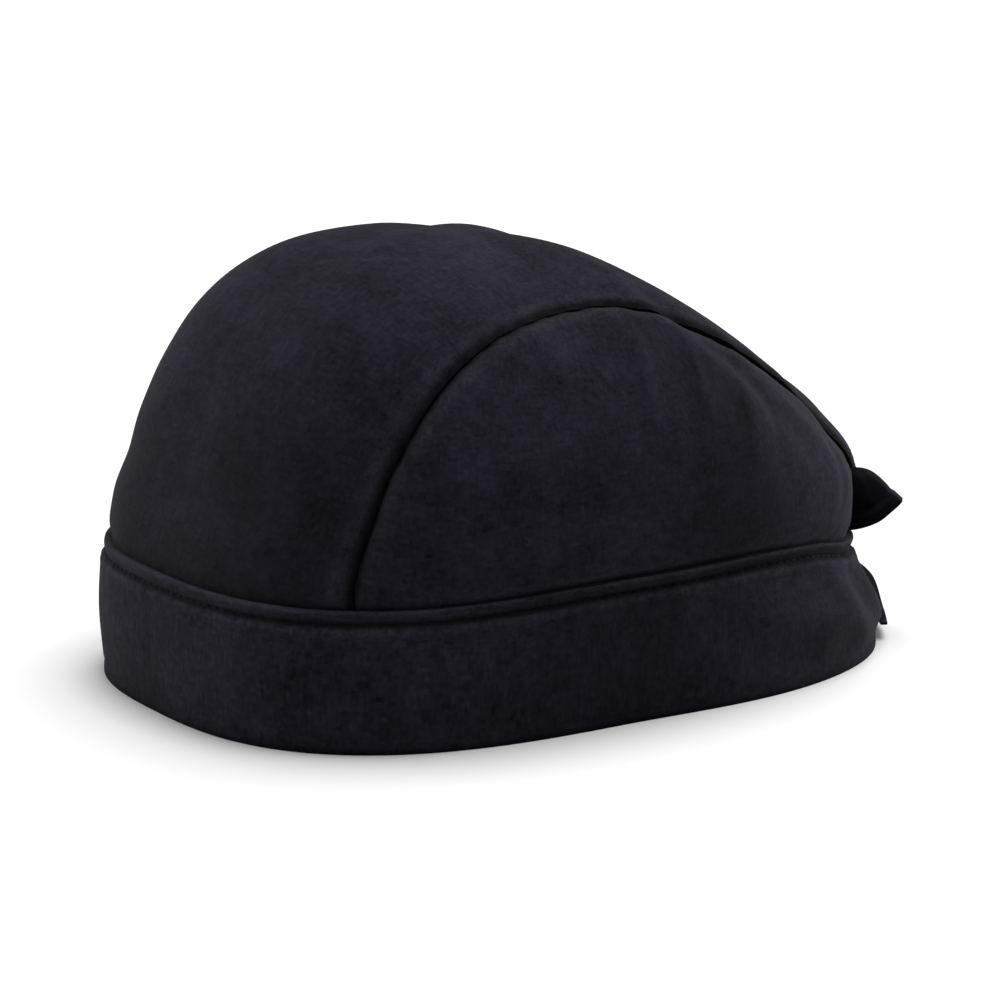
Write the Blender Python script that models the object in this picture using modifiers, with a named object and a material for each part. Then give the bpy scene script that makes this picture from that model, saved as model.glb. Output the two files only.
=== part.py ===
"""Tie-back cloth skullcap: a centre panel that ends in a back flap, two side panels, a headband and a knotted tie.

Metres, +Z up. The front of the cap faces -Y and the wearer's left is +X.
The cap stands on the lower edge of its headband. Every cloth piece is a thin shell with its own
outer face; the shapes are worked out in the cap's own frame, whose axis passes through the widest
section of the headband, and a parent empty then centres the whole cap on the origin.
"""

import math
from collections import namedtuple

import bmesh
import bpy
from mathutils import Vector

# Headband: an egg-shaped oval of folded cloth, open at the back where the tie closes it.
BAND_LENGTH = 0.204
BAND_WIDTH = 0.156
BAND_FRONT_REACH = 0.093
BAND_SQUARENESS = 2.75
BAND_HEIGHT = 0.0368
BAND_THICKNESS = 0.0022
BAND_BACK_FLARE = 0.0068
BAND_BULGE = 0.0009
BAND_FOOT = 0.0015
BAND_LIP_HEIGHT = 0.0034
BAND_STITCH_DIP = 0.0004
BAND_END_GAP = 0.020

# Crown: the dome of the centre panel and the side panels, sewn inside the band's top edge.
CROWN_RISE = 0.079
CROWN_ROUNDING = 1.3
CROWN_FOOT_SETTLE = 8
CLOTH_THICKNESS = 0.0016
SEAM_TUCK = 0.004
PIECE_GAP = 0.0003

# Curved seams between the centre panel and the side panels.
SEAM_HALF_WIDTH = 0.062
SEAM_DIP = 0.0018
SEAM_DIP_WIDTH = 0.007
SIDE_PUFF = 0.0015

# Back flap: the free end of the centre panel, over the opening at the back.
FLAP_ROOT_DEG = 173.0
FLAP_ARCH = 0.004
FLAP_ARCH_DEG = 163.0
FLAP_ARCH_SPREAD_DEG = 9.0
FLAP_CORNER_BACK = 0.019
FLAP_CORNER_DROP = 0.0092
FLAP_CORNER_SPREAD = 0.001
FLAP_CENTRE_BACK = 0.005
FLAP_CENTRE_DROP = 0.025
FLAP_CORNER_SHARPNESS = 3
BACK_OPENING_SPREAD = 0.004

# Tie: two straps sewn to the band, a knot, and the two free ends.
STRAP_WIDTH = 0.013
STRAP_THICKNESS = 0.0018
STRAP_LENGTH = 0.018
STRAP_MID_HEIGHT = 0.0135
KNOT_WIDTH = 0.019
KNOT_DEPTH = 0.012
KNOT_HEIGHT = 0.0155
KNOT_FULLNESS = 0.8
TIE_END_WIDTH = 0.011
TIE_END_LENGTH = 0.037
TIE_END_TAPER = 0.02
TIE_END_TIP_HEIGHT = 0.0045

# Mesh densities, in faces.
BAND_STEPS = 88
BAND_ROWS = 8
PANEL_STEPS = 30
PANEL_COLUMNS = 14
SIDE_STEPS = 22
SIDE_ROWS = 9
FLAP_STEPS = 6
STRAP_STEPS = 8
TIE_END_STEPS = 10

# How full the crown is along its front, side and back, as shares of a plain ellipse, by elevation.
CrownRow = namedtuple("CrownRow", "elevation_deg front side back")
CROWN_ROWS = [
    CrownRow(0, 1.000, 1.000, 1.000),
    CrownRow(7, 0.995, 1.045, 1.040),
    CrownRow(15, 0.960, 1.079, 0.970),
    CrownRow(22, 0.968, 1.088, 0.925),
    CrownRow(30, 0.991, 1.087, 0.898),
    CrownRow(45, 1.049, 1.092, 0.888),
    CrownRow(60, 1.080, 1.060, 0.923),
    CrownRow(75, 1.052, 1.025, 0.980),
    CrownRow(83, 1.020, 1.008, 0.998),
    CrownRow(90, 1.000, 1.000, 1.000),
]

# Half width of the centre panel as shares of SEAM_HALF_WIDTH, by angle over the crown from the front.
SeamRow = namedtuple("SeamRow", "over_deg half_width")
SEAM_ROWS = [
    SeamRow(0, 0.965),
    SeamRow(15, 0.997),
    SeamRow(32, 0.996),
    SeamRow(48, 0.973),
    SeamRow(62, 0.935),
    SeamRow(72, 0.893),
    SeamRow(80, 0.855),
    SeamRow(90, 0.812),
    SeamRow(100, 0.806),
    SeamRow(112, 0.835),
    SeamRow(122, 0.850),
    SeamRow(132, 0.850),
    SeamRow(140, 0.820),
    SeamRow(148, 0.785),
    SeamRow(156, 0.765),
    SeamRow(164, 0.750),
    SeamRow(180, 0.740),
]

# Height of the band's top edge as shares of BAND_HEIGHT, by azimuth from the front.
BandRow = namedtuple("BandRow", "azimuth_deg height")
BAND_TOP_ROWS = [
    BandRow(0, 1.000),
    BandRow(45, 0.990),
    BandRow(90, 1.030),
    BandRow(120, 1.030),
    BandRow(135, 0.980),
    BandRow(147, 0.870),
    BandRow(160, 0.810),
    BandRow(180, 0.780),
]

# Soft folds in the side panels, placed by azimuth and elevation; depth is a share of CLOTH_THICKNESS.
FoldRow = namedtuple("FoldRow", "azimuth_deg elevation_deg lean width_deg length_deg depth")
CROWN_FOLDS = [
    FoldRow(121, 40, 0.30, 4.5, 16, 0.9),
    FoldRow(128, 33, 0.45, 4.0, 18, -1.1),
    FoldRow(137, 24, 0.40, 5.0, 16, 0.9),
    FoldRow(148, 14, 0.20, 4.0, 12, 0.6),
    FoldRow(152, 13, 0.15, 3.0, 10, -0.9),
    FoldRow(157, 10, 0.10, 3.0, 9, -0.6),
]

# Gathers in the band next to its ends; depth is a share of BAND_THICKNESS.
GatherRow = namedtuple("GatherRow", "azimuth_deg width_deg depth")
BAND_GATHERS = [
    GatherRow(137, 5.0, 0.30),
    GatherRow(146, 3.5, -0.40),
    GatherRow(152, 3.0, 0.35),
    GatherRow(159, 3.0, -0.35),
    GatherRow(165, 2.5, 0.30),
]


def column_value(rows, column, position):
    """Smooth value of one table column at a position in the table's first column."""
    keys = [row[0] for row in rows]
    values = [getattr(row, column) for row in rows]
    position = min(max(position, keys[0]), keys[-1])
    last = len(rows) - 2
    cell = min(max(sum(key <= position for key in keys) - 1, 0), last)

    def slope(index):
        if index in (0, len(rows) - 1):
            return 0.0 if index else (values[1] - values[0]) / (keys[1] - keys[0])
        before = (values[index] - values[index - 1]) / (keys[index] - keys[index - 1])
        after = (values[index + 1] - values[index]) / (keys[index + 1] - keys[index])
        return 0.0 if before * after <= 0 else 2 * before * after / (before + after)

    step = keys[cell + 1] - keys[cell]
    t = (position - keys[cell]) / step
    rise = values[cell + 1] - values[cell]
    low, high = slope(cell) * step, slope(cell + 1) * step
    return values[cell] + low * t + (3 * rise - 2 * low - high) * t**2 + (low + high - 2 * rise) * t**3


def ease(share):
    """Smooth step from 0 to 1."""
    share = min(max(share, 0.0), 1.0)
    return share * share * (3 - 2 * share)


def bump(distance):
    """Bell curve of width 1."""
    return math.exp(-distance * distance)


def egg_radius(azimuth, front, back, half_width, squareness):
    """Radius of an egg-shaped oval whose front and back reach differently from its widest section."""
    cosine, sine = math.cos(azimuth), math.sin(azimuth)
    reach = front if cosine > 0 else back
    total = abs(cosine / reach) ** squareness + abs(sine / half_width) ** squareness
    return total ** (-1 / squareness)


def ground_point(azimuth, radius, height):
    """Point at an azimuth, which counts from the front towards the wearer's left."""
    return Vector((radius * math.sin(azimuth), -radius * math.cos(azimuth), height))


def off_front_deg(azimuth):
    """Angle between an azimuth and the front, 0 to 180 degrees, the same on both sides."""
    turned = math.degrees(azimuth) % 360
    return min(turned, 360 - turned)


def band_top(azimuth):
    """Height of the band's top edge."""
    return BAND_HEIGHT * column_value(BAND_TOP_ROWS, "height", off_front_deg(azimuth))


def band_radius(azimuth, inset):
    """Radius of the band's oval, brought in by an inset."""
    back = BAND_LENGTH - BAND_FRONT_REACH
    return egg_radius(
        azimuth, BAND_FRONT_REACH - inset, back - inset, BAND_WIDTH / 2 - inset, BAND_SQUARENESS
    )


def band_point(azimuth, height):
    """Point on the band's outer face at a height: upright at its foot, bulged, flared and stitched."""
    rise = max(height - BAND_FOOT, 0.0)
    to_stitch = band_top(azimuth) - BAND_LIP_HEIGHT - BAND_FOOT
    belly = math.sin(math.pi * min(rise / to_stitch, 1.0)) ** 2
    gathers = sum(
        row.depth * bump((off_front_deg(azimuth) - row.azimuth_deg) / row.width_deg)
        for row in BAND_GATHERS
    )
    swell = (BAND_BULGE + BAND_THICKNESS * gathers) * belly
    groove = BAND_STITCH_DIP * bump((rise - to_stitch) / (BAND_LIP_HEIGHT / 2))
    behind = ease((off_front_deg(azimuth) - 90) / 60)
    flare = BAND_BACK_FLARE * behind * ease(1 - rise / (band_top(azimuth) - BAND_FOOT))
    return ground_point(azimuth, band_radius(azimuth, 0.0) + swell - groove + flare, height)


def crown_radius(azimuth, elevation):
    """Distance from the crown's centre, at the height of the band's top edge, to the crown's outer face."""
    inset = BAND_THICKNESS + BAND_STITCH_DIP + PIECE_GAP
    degrees = math.degrees(elevation)

    def reach(ground, column):
        plain = math.hypot(math.cos(elevation) / ground, math.sin(elevation) / CROWN_RISE) ** -1
        return plain * column_value(CROWN_ROWS, column, degrees)

    front = reach(BAND_FRONT_REACH - inset, "front")
    back = reach(BAND_LENGTH - BAND_FRONT_REACH - inset, "back")
    side = reach(BAND_WIDTH / 2 - inset, "side")
    squareness = 2 + (BAND_SQUARENESS - 2) * math.cos(elevation) ** CROWN_ROUNDING
    return egg_radius(azimuth, front, back, side, squareness)


def fold_height(azimuth, elevation):
    """How far the soft folds raise the cloth here."""
    across, up = off_front_deg(azimuth), math.degrees(elevation)
    total = 0.0
    for row in CROWN_FOLDS:
        along = up - row.elevation_deg
        off = across - row.azimuth_deg + row.lean * along
        total += row.depth * bump(off / row.width_deg) * bump(along / row.length_deg)
    return CLOTH_THICKNESS * total * ease(math.degrees(elevation) / 8)


def crown_point(azimuth, elevation, raised=0.0):
    """Point on the crown's outer face, raised by a small distance."""
    radius = crown_radius(azimuth, elevation) + fold_height(azimuth, elevation) + raised
    settled = (1 - math.sin(elevation)) ** CROWN_FOOT_SETTLE
    level = BAND_HEIGHT + (band_top(azimuth) - BAND_HEIGHT) * settled
    flat = ground_point(azimuth, radius * math.cos(elevation), 0.0)
    return flat + Vector((0.0, 0.0, level + radius * math.sin(elevation)))


def crown_angles(over, half_width):
    """Azimuth and elevation of the crown point at an angle over the crown and a sideways distance."""
    lean = 0.0
    for _ in range(24):
        azimuth = math.atan2(math.sin(lean), math.cos(lean) * math.cos(over))
        elevation = math.asin(max(math.cos(lean) * math.sin(over), 0.0))
        lean = math.asin(half_width / crown_radius(azimuth, elevation))
    return azimuth, elevation


def seam_half_width(over):
    """Half width of the centre panel at an angle over the crown."""
    return SEAM_HALF_WIDTH * column_value(SEAM_ROWS, "half_width", math.degrees(over))


def centre_panel_point(across, along):
    """Point on the centre panel: across from -1 to 1, along from its front edge to the flap's hem."""
    steps = PANEL_STEPS + FLAP_STEPS + 1
    row = along * steps
    root = math.radians(FLAP_ROOT_DEG)
    over = root * min(max(row - 1, 0) / PANEL_STEPS, 1.0)
    sideways = across * (seam_half_width(over) - PIECE_GAP / 2)
    azimuth, elevation = crown_angles(over, sideways)
    to_seam = (1 - abs(across)) * seam_half_width(over)
    dip = SEAM_DIP * bump(to_seam / SEAM_DIP_WIDTH) * ease(math.degrees(over) / 12)
    off_arch = (math.degrees(over) - FLAP_ARCH_DEG) / FLAP_ARCH_SPREAD_DEG
    arch = FLAP_ARCH * bump(off_arch) * (1 - across * across)
    point = crown_point(azimuth, elevation, arch - dip * ease(elevation / math.radians(6)))
    if row < 0.5:
        point.z -= SEAM_TUCK
    flap = max(row - 1 - PANEL_STEPS, 0) / FLAP_STEPS
    corner = abs(across) ** FLAP_CORNER_SHARPNESS
    hang = 1 - (1 - flap) ** 2
    back = FLAP_CENTRE_BACK * hang * (1 - corner) + FLAP_CORNER_BACK * flap * corner
    drop = FLAP_CENTRE_DROP * flap * (1 - corner) + FLAP_CORNER_DROP * flap**1.4 * corner
    spread = math.copysign(FLAP_CORNER_SPREAD * flap**3 * corner, across)
    return point + Vector((spread, back, -drop))


def even_across(u):
    """Across from -1 to 1, with a narrow column along each edge."""
    share = 2 * u - 1
    edge = 1 - 2 / PANEL_COLUMNS
    return share if abs(share) > edge else share * (1 - 0.6 / PANEL_COLUMNS) / edge


def side_panel_point(along, up):
    """Point on the left side panel: along from its front corner to its back edge, up from the band."""
    over = math.radians(FLAP_ROOT_DEG) * along
    seam_azimuth, seam_elevation = crown_angles(over, seam_half_width(over) + PIECE_GAP / 2)
    front_azimuth = crown_angles(0.0, seam_half_width(0.0) + PIECE_GAP / 2)[0]
    back_half_width = seam_half_width(math.radians(FLAP_ROOT_DEG)) + BACK_OPENING_SPREAD
    back_azimuth = crown_angles(math.pi, back_half_width)[0]
    low_azimuth = front_azimuth + (back_azimuth - front_azimuth) * along
    share = max((up * SIDE_ROWS - 1) / (SIDE_ROWS - 1), 0.0)
    low = ground_point(low_azimuth, 1.0, 0.0)
    high = ground_point(seam_azimuth, math.cos(seam_elevation), math.sin(seam_elevation))
    aim = low.slerp(high, share) if (high - low).length > 1e-6 else high
    azimuth = math.atan2(aim.x, -aim.y)
    elevation = math.asin(min(max(aim.z, 0.0), 1.0))
    puff = SIDE_PUFF * math.sin(math.pi * share) ** 2 * math.sin(math.pi * along)
    to_seam = (1 - share) * low.angle(high, 0.0) * crown_radius(azimuth, elevation)
    dip = SEAM_DIP * bump(to_seam / SEAM_DIP_WIDTH) * ease(math.degrees(over) / 12)
    point = crown_point(azimuth, elevation, puff - dip * ease(seam_elevation / math.radians(6)))
    if up * SIDE_ROWS < 0.5:
        point.z -= SEAM_TUCK
    return point


def cloth_material(name, colour, roughness):
    """Plain woven cloth."""
    material = bpy.data.materials.new(name)
    material.use_nodes = True
    shader = material.node_tree.nodes["Principled BSDF"]
    shader.inputs["Base Color"].default_value = (*colour, 1.0)
    shader.inputs["Roughness"].default_value = roughness
    shader.inputs["Metallic"].default_value = 0.0
    return material


def sheet(name, columns, rows, place, material):
    """Open cloth surface: a grid whose points are placed by a function of two shares."""
    bpy.ops.mesh.primitive_grid_add(x_subdivisions=columns, y_subdivisions=rows, size=2)
    obj = bpy.context.object
    obj.name = obj.data.name = name
    for vertex in obj.data.vertices:
        vertex.co = place((vertex.co.x + 1) / 2, (vertex.co.y + 1) / 2)
    mesh = bmesh.new()
    mesh.from_mesh(obj.data)
    bmesh.ops.remove_doubles(mesh, verts=mesh.verts, dist=1e-6)
    mesh.to_mesh(obj.data)
    mesh.free()
    obj.data.materials.append(material)
    obj.data.shade_smooth()
    return obj


def thicken(obj, thickness, offset=-1.0):
    """Gives a cloth surface its wall, inwards from its outer face."""
    wall = obj.modifiers.new("wall", "SOLIDIFY")
    wall.thickness = thickness
    wall.offset = offset
    wall.use_even_offset = True
    return obj


def make_headband(material):
    """The band, from one end at the back round the front to the other end."""
    end = math.pi - math.asin(BAND_END_GAP / 2 / band_radius(math.pi, 0.0))

    def place(u, v):
        azimuth = end * (2 * u - 1)
        row = v * BAND_ROWS
        stitch = band_top(azimuth) - BAND_LIP_HEIGHT
        if row < 1:
            return band_point(azimuth, BAND_FOOT * row)
        if row > BAND_ROWS - 2:
            return band_point(azimuth, stitch + BAND_LIP_HEIGHT * (row - BAND_ROWS + 2) / 2)
        return band_point(azimuth, BAND_FOOT + (stitch - BAND_FOOT) * (row - 1) / (BAND_ROWS - 3))

    return thicken(sheet("headband", BAND_STEPS, BAND_ROWS, place, material), BAND_THICKNESS)


def make_centre_panel(material):
    """The centre panel, from the band at the front over the crown to the flap."""

    def place(u, v):
        return centre_panel_point(even_across(u), v)

    rows = PANEL_STEPS + FLAP_STEPS + 1
    return thicken(sheet("centre_panel", PANEL_COLUMNS, rows, place, material), CLOTH_THICKNESS)


def make_side_panel(name, side, material):
    """One side panel; side is 1 for the wearer's left and -1 for the right."""

    def place(u, v):
        point = side_panel_point(u if side > 0 else 1 - u, v)
        return Vector((side * point.x, point.y, point.z))

    return thicken(sheet(name, SIDE_STEPS, SIDE_ROWS, place, material), CLOTH_THICKNESS)


def strap_azimuth(sideways):
    """Azimuth on the back of the band at a sideways distance from the centre."""
    azimuth = math.pi
    for _ in range(12):
        azimuth = math.pi - math.asin(sideways / band_radius(azimuth, 0.0))
    return azimuth


def make_strap(name, side, material):
    """A tie strap on the band's outer face, from its sewn end to the knot."""
    inner = KNOT_WIDTH / 2 + PIECE_GAP
    outer = inner + STRAP_LENGTH

    def place(u, v):
        sideways = outer + (inner - outer) * u
        azimuth = strap_azimuth(sideways)
        height = STRAP_MID_HEIGHT + (v - 0.5) * STRAP_WIDTH
        face = band_point(azimuth, height)
        off = ground_point(azimuth, PIECE_GAP + STRAP_THICKNESS + BAND_THICKNESS * 0.12, 0.0)
        point = face + off
        return Vector((side * point.x, point.y, point.z))

    def turned(u, v):
        return place(u if side > 0 else 1 - u, v)

    return thicken(sheet(name, STRAP_STEPS, 3, turned, material), STRAP_THICKNESS)


def knot_centre():
    """Middle of the knot, behind the gap between the band's ends."""
    face = band_point(math.pi, STRAP_MID_HEIGHT)
    return Vector((0.0, face.y + STRAP_THICKNESS, STRAP_MID_HEIGHT))


def make_knot(material):
    """The knot: a ball pulled towards a soft box."""
    bpy.ops.mesh.primitive_uv_sphere_add(segments=20, ring_count=12, radius=1)
    obj = bpy.context.object
    obj.name = obj.data.name = "tie_knot"
    half = Vector((KNOT_WIDTH, KNOT_DEPTH, KNOT_HEIGHT)) / 2
    for vertex in obj.data.vertices:
        full = [math.copysign(abs(c) ** KNOT_FULLNESS, c) for c in vertex.co]
        vertex.co = knot_centre() + Vector([c * h for c, h in zip(full, half)])
    obj.data.materials.append(material)
    obj.data.shade_smooth()
    return obj


def make_tie_end(name, side, material):
    """A free end of the tie: out of the knot, over its strap, and tapered to a tip off the band."""
    start = KNOT_WIDTH / 2 + PIECE_GAP

    def place(u, v):
        along = u if side < 0 else 1 - u
        azimuth = strap_azimuth(start + TIE_END_LENGTH * along)
        middle = STRAP_MID_HEIGHT + (TIE_END_TIP_HEIGHT - STRAP_MID_HEIGHT) * ease(along)
        taper = min((1 - along) * TIE_END_LENGTH / TIE_END_TAPER, 1.0)
        height = middle + (v - 0.5) * TIE_END_WIDTH * (0.06 + 0.94 * taper)
        point = band_point(azimuth, height)
        past_strap = (TIE_END_LENGTH * along - STRAP_LENGTH) / TIE_END_TAPER
        layers = 2 - ease(past_strap)
        off = (layers + 0.3) * (STRAP_THICKNESS + PIECE_GAP)
        point += ground_point(azimuth, off, 0.0)
        return Vector((side * point.x, point.y, height))

    return thicken(sheet(name, TIE_END_STEPS, 2, place, material), STRAP_THICKNESS)


def centre_assembly(pieces):
    """Parents the pieces to an empty that puts the middle of the cap's footprint on the origin."""
    bpy.context.view_layer.update()
    graph = bpy.context.evaluated_depsgraph_get()
    corners = [Vector(c) for piece in pieces for c in piece.evaluated_get(graph).bound_box]
    middle = (min(c.y for c in corners) + max(c.y for c in corners)) / 2
    holder = bpy.data.objects.new("skullcap", None)
    bpy.context.scene.collection.objects.link(holder)
    holder.location = (0.0, -middle, 0.0)
    for piece in pieces:
        piece.parent = holder


def main():
    """Builds the whole cap in a collection of its own."""
    for obj in list(bpy.data.objects):
        bpy.data.objects.remove(obj)
    crown_cloth = cloth_material("crown_cloth", (0.012, 0.012, 0.016), 0.85)
    band_cloth = cloth_material("band_cloth", (0.012, 0.012, 0.016), 0.85)
    pieces = [
        make_headband(band_cloth),
        make_centre_panel(crown_cloth),
        make_side_panel("side_panel_left", 1, crown_cloth),
        make_side_panel("side_panel_right", -1, crown_cloth),
        make_strap("tie_strap_left", 1, band_cloth),
        make_strap("tie_strap_right", -1, band_cloth),
        make_knot(band_cloth),
        make_tie_end("tie_end_left", 1, band_cloth),
        make_tie_end("tie_end_right", -1, band_cloth),
    ]
    collection = bpy.data.collections.new("skullcap")
    bpy.context.scene.collection.children.link(collection)
    for piece in pieces:
        for owner in list(piece.users_collection):
            owner.objects.unlink(piece)
        collection.objects.link(piece)
    centre_assembly(pieces)


main()
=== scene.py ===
"""Looks of the tie-back skullcap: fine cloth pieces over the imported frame, finishes, light and camera."""

import logging
import math
from dataclasses import dataclass, field
from enum import Enum
from typing import Any, Callable, Sequence

import bmesh
import bpy
import numpy as np
from mathutils import Matrix, Vector, noise


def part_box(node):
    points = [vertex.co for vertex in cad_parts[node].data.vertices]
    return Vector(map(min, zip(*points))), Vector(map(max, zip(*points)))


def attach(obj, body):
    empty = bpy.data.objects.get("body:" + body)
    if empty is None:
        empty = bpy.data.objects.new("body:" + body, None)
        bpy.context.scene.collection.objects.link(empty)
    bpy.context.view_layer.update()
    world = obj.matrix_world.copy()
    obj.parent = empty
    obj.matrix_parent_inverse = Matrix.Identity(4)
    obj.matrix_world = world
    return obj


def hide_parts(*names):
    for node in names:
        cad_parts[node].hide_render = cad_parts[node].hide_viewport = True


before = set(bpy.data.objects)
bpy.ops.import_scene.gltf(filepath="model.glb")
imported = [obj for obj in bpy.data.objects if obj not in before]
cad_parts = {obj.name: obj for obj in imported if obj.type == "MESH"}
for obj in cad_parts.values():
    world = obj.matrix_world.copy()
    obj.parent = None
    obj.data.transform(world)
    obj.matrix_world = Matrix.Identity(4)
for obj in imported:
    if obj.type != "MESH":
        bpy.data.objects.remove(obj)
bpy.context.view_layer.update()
LOG = logging.getLogger("skullcap")
MM = 0.001

Numbers = np.ndarray
Point = tuple[float, float]


def bump(distance: Numbers) -> Numbers:
    """Bell curve of width 1."""
    return np.exp(-(distance**2))


def ease(share: Numbers) -> Numbers:
    """Smooth step from 0 to 1."""
    share = np.clip(share, 0.0, 1.0)
    return share * share * (3 - 2 * share)


def ground(azimuth: Numbers, radius: Numbers, height: Numbers) -> Numbers:
    """Points at an azimuth, which counts from the cap's front towards the wearer's left.

    Args:
        azimuth: Angles in radians.
        radius: Distances from the cap's axis.
        height: Heights over the rest plane.

    Returns:
        One row of x, y and z for each angle.
    """
    parts = np.broadcast_arrays(radius * np.sin(azimuth), -radius * np.cos(azimuth), height)
    return np.stack(parts, axis=-1)


def off_front(azimuth: Numbers) -> Numbers:
    """Angle from the front in degrees, 0 to 180, the same on both sides."""
    turned = np.degrees(azimuth) % 360
    return np.minimum(turned, 360 - turned)


@dataclass(frozen=True)
class Table:
    """A short table read as a smooth curve."""

    keys: tuple[float, ...]
    values: tuple[float, ...]

    def at(self, position: Numbers) -> Numbers:
        """Value of the curve.

        Args:
            position: Places along the table's keys.

        Returns:
            The values there, with no overshoot between rows.
        """
        keys, values = np.array(self.keys), np.array(self.values)
        steps, rises = np.diff(keys), np.diff(values)
        grades = rises / steps
        slopes = np.zeros(len(keys))
        product = grades[:-1] * grades[1:]
        total = grades[:-1] + grades[1:]
        inner = np.where(product > 0, 2 * product / np.where(total == 0, 1, total), 0.0)
        slopes[1:-1] = inner
        slopes[0] = grades[0]
        position = np.clip(position, keys[0], keys[-1])
        cell = np.clip(np.searchsorted(keys, position, side="right") - 1, 0, len(keys) - 2)
        t = (position - keys[cell]) / steps[cell]
        low, high, rise = slopes[cell] * steps[cell], slopes[cell + 1] * steps[cell], rises[cell]
        return values[cell] + low * t + (3 * rise - 2 * low - high) * t**2 + (low + high - 2 * rise) * t**3


@dataclass(frozen=True)
class Gather:
    """A ruck in cloth next to a gathered end: its place, width and depth as a share of the thickness."""

    azimuth: float
    width: float
    depth: float


@dataclass(frozen=True)
class SoftFold:
    """A broad fold in the crown, placed by azimuth and elevation."""

    azimuth: float
    elevation: float
    lean: float
    width: float
    length: float
    depth: float


@dataclass(frozen=True)
class CapForm:
    """The cap's main shape, in the cap's own frame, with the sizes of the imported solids."""

    band_length: float = 0.204
    band_width: float = 0.156
    front_reach: float = 0.093
    squareness: float = 2.75
    band_height: float = 0.0368
    band_thickness: float = 0.0022
    back_flare: float = 0.0068
    bulge: float = 0.0009
    foot: float = 0.0015
    lip: float = 0.0034
    stitch_dip: float = 0.0004
    end_gap: float = 0.020
    crown_rise: float = 0.079
    rounding: float = 1.3
    cloth: float = 0.0016
    tuck: float = 0.004
    gap: float = 0.0003
    seam_half_width: float = 0.062
    seam_dip: float = 0.0018
    seam_dip_width: float = 0.007
    side_puff: float = 0.0015
    flap_root: float = 173.0
    back_spread: float = 0.004
    settle: float = 8.0
    lap_start: float = 0.0005
    lap_swell: float = 0.0013
    front_hollow: float = 0.0013
    band_top_share: Table = Table(
        (0, 45, 90, 120, 135, 147, 160, 180), (1.0, 0.99, 1.03, 1.03, 0.98, 0.87, 0.81, 0.78)
    )
    front_fullness: Table = Table(
        (0, 7, 15, 22, 30, 45, 60, 75, 83, 90),
        (1.0, 0.995, 0.96, 0.968, 0.991, 1.049, 1.08, 1.052, 1.02, 1.0),
    )
    side_fullness: Table = Table(
        (0, 7, 15, 22, 30, 45, 60, 75, 83, 90),
        (1.0, 1.045, 1.079, 1.088, 1.087, 1.092, 1.06, 1.025, 1.008, 1.0),
    )
    back_fullness: Table = Table(
        (0, 7, 15, 22, 30, 45, 60, 75, 83, 90),
        (1.0, 1.04, 0.97, 0.925, 0.898, 0.888, 0.923, 0.98, 0.998, 1.0),
    )
    seam_share: Table = Table(
        (0, 15, 32, 48, 62, 72, 80, 90, 100, 112, 122, 132, 140, 148, 156, 164, 180),
        (
            0.965, 0.997, 0.996, 0.973, 0.935, 0.893, 0.855, 0.812, 0.806,
            0.835, 0.85, 0.85, 0.82, 0.785, 0.765, 0.75, 0.74,
        ),
    )
    folds: tuple[SoftFold, ...] = (
        SoftFold(121, 40, 0.30, 4.5, 16, 0.9),
        SoftFold(128, 33, 0.45, 4.0, 18, -1.1),
        SoftFold(137, 24, 0.40, 5.0, 16, 0.9),
        SoftFold(148, 14, 0.20, 4.0, 12, 0.6),
        SoftFold(152, 13, 0.15, 3.0, 10, -0.9),
        SoftFold(157, 10, 0.10, 3.0, 9, -0.6),
    )
    gathers: tuple[Gather, ...] = (
        Gather(137, 5.0, 0.30),
        Gather(146, 3.5, -0.40),
        Gather(152, 3.0, 0.35),
        Gather(159, 3.0, -0.35),
        Gather(165, 2.5, 0.30),
    )

    def egg(self, azimuth: Numbers, front: Numbers, back: Numbers, side: Numbers, power: Numbers) -> Numbers:
        """Radius of an egg-shaped oval.

        Args:
            azimuth: Angles in radians.
            front: Reach at the front.
            back: Reach at the back.
            side: Half width.
            power: How square the oval is; 2 is an ellipse.

        Returns:
            The radius at each angle.
        """
        cosine, sine = np.cos(azimuth), np.sin(azimuth)
        reach = np.where(cosine > 0, front, back)
        return (np.abs(cosine / reach) ** power + np.abs(sine / side) ** power) ** (-1 / power)

    def band_top(self, azimuth: Numbers) -> Numbers:
        """Height of the band's top edge."""
        return self.band_height * self.band_top_share.at(off_front(azimuth))

    def band_radius(self, azimuth: Numbers, inset: float = 0.0) -> Numbers:
        """Radius of the band's oval.

        Args:
            azimuth: Angles in radians.
            inset: Distance that the oval is brought in by.

        Returns:
            The radius at each angle.
        """
        back = self.band_length - self.front_reach
        side = self.band_width / 2
        return self.egg(azimuth, self.front_reach - inset, back - inset, side - inset, self.squareness)

    def band_point(self, azimuth: Numbers, height: Numbers, off: Numbers = 0.0) -> Numbers:
        """Point of the band's outer face.

        Args:
            azimuth: Angles in radians.
            height: Heights over the rest plane.
            off: Distance outwards from the face.

        Returns:
            One row of x, y and z for each angle.
        """
        rise = np.maximum(height - self.foot, 0.0)
        to_stitch = self.band_top(azimuth) - self.lip - self.foot
        belly = np.sin(math.pi * np.minimum(rise / to_stitch, 1.0)) ** 2
        across = off_front(azimuth)
        rucks = sum(g.depth * bump((across - g.azimuth) / g.width) for g in self.gathers)
        swell = (self.bulge + self.band_thickness * rucks) * belly
        groove = self.stitch_dip * bump((rise - to_stitch) / (self.lip / 2))
        behind = ease((across - 90) / 60)
        flare = self.back_flare * behind * ease(1 - rise / (self.band_top(azimuth) - self.foot))
        return ground(azimuth, self.band_radius(azimuth) + swell - groove + flare + off, height)

    def crown_radius(self, azimuth: Numbers, elevation: Numbers) -> Numbers:
        """Distance from the crown's centre to its outer face.

        Args:
            azimuth: Angles in radians.
            elevation: Angles over the band's top, in radians.

        Returns:
            The radius at each pair of angles.
        """
        inset = self.band_thickness + self.stitch_dip + self.gap
        degrees = np.degrees(elevation)

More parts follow.
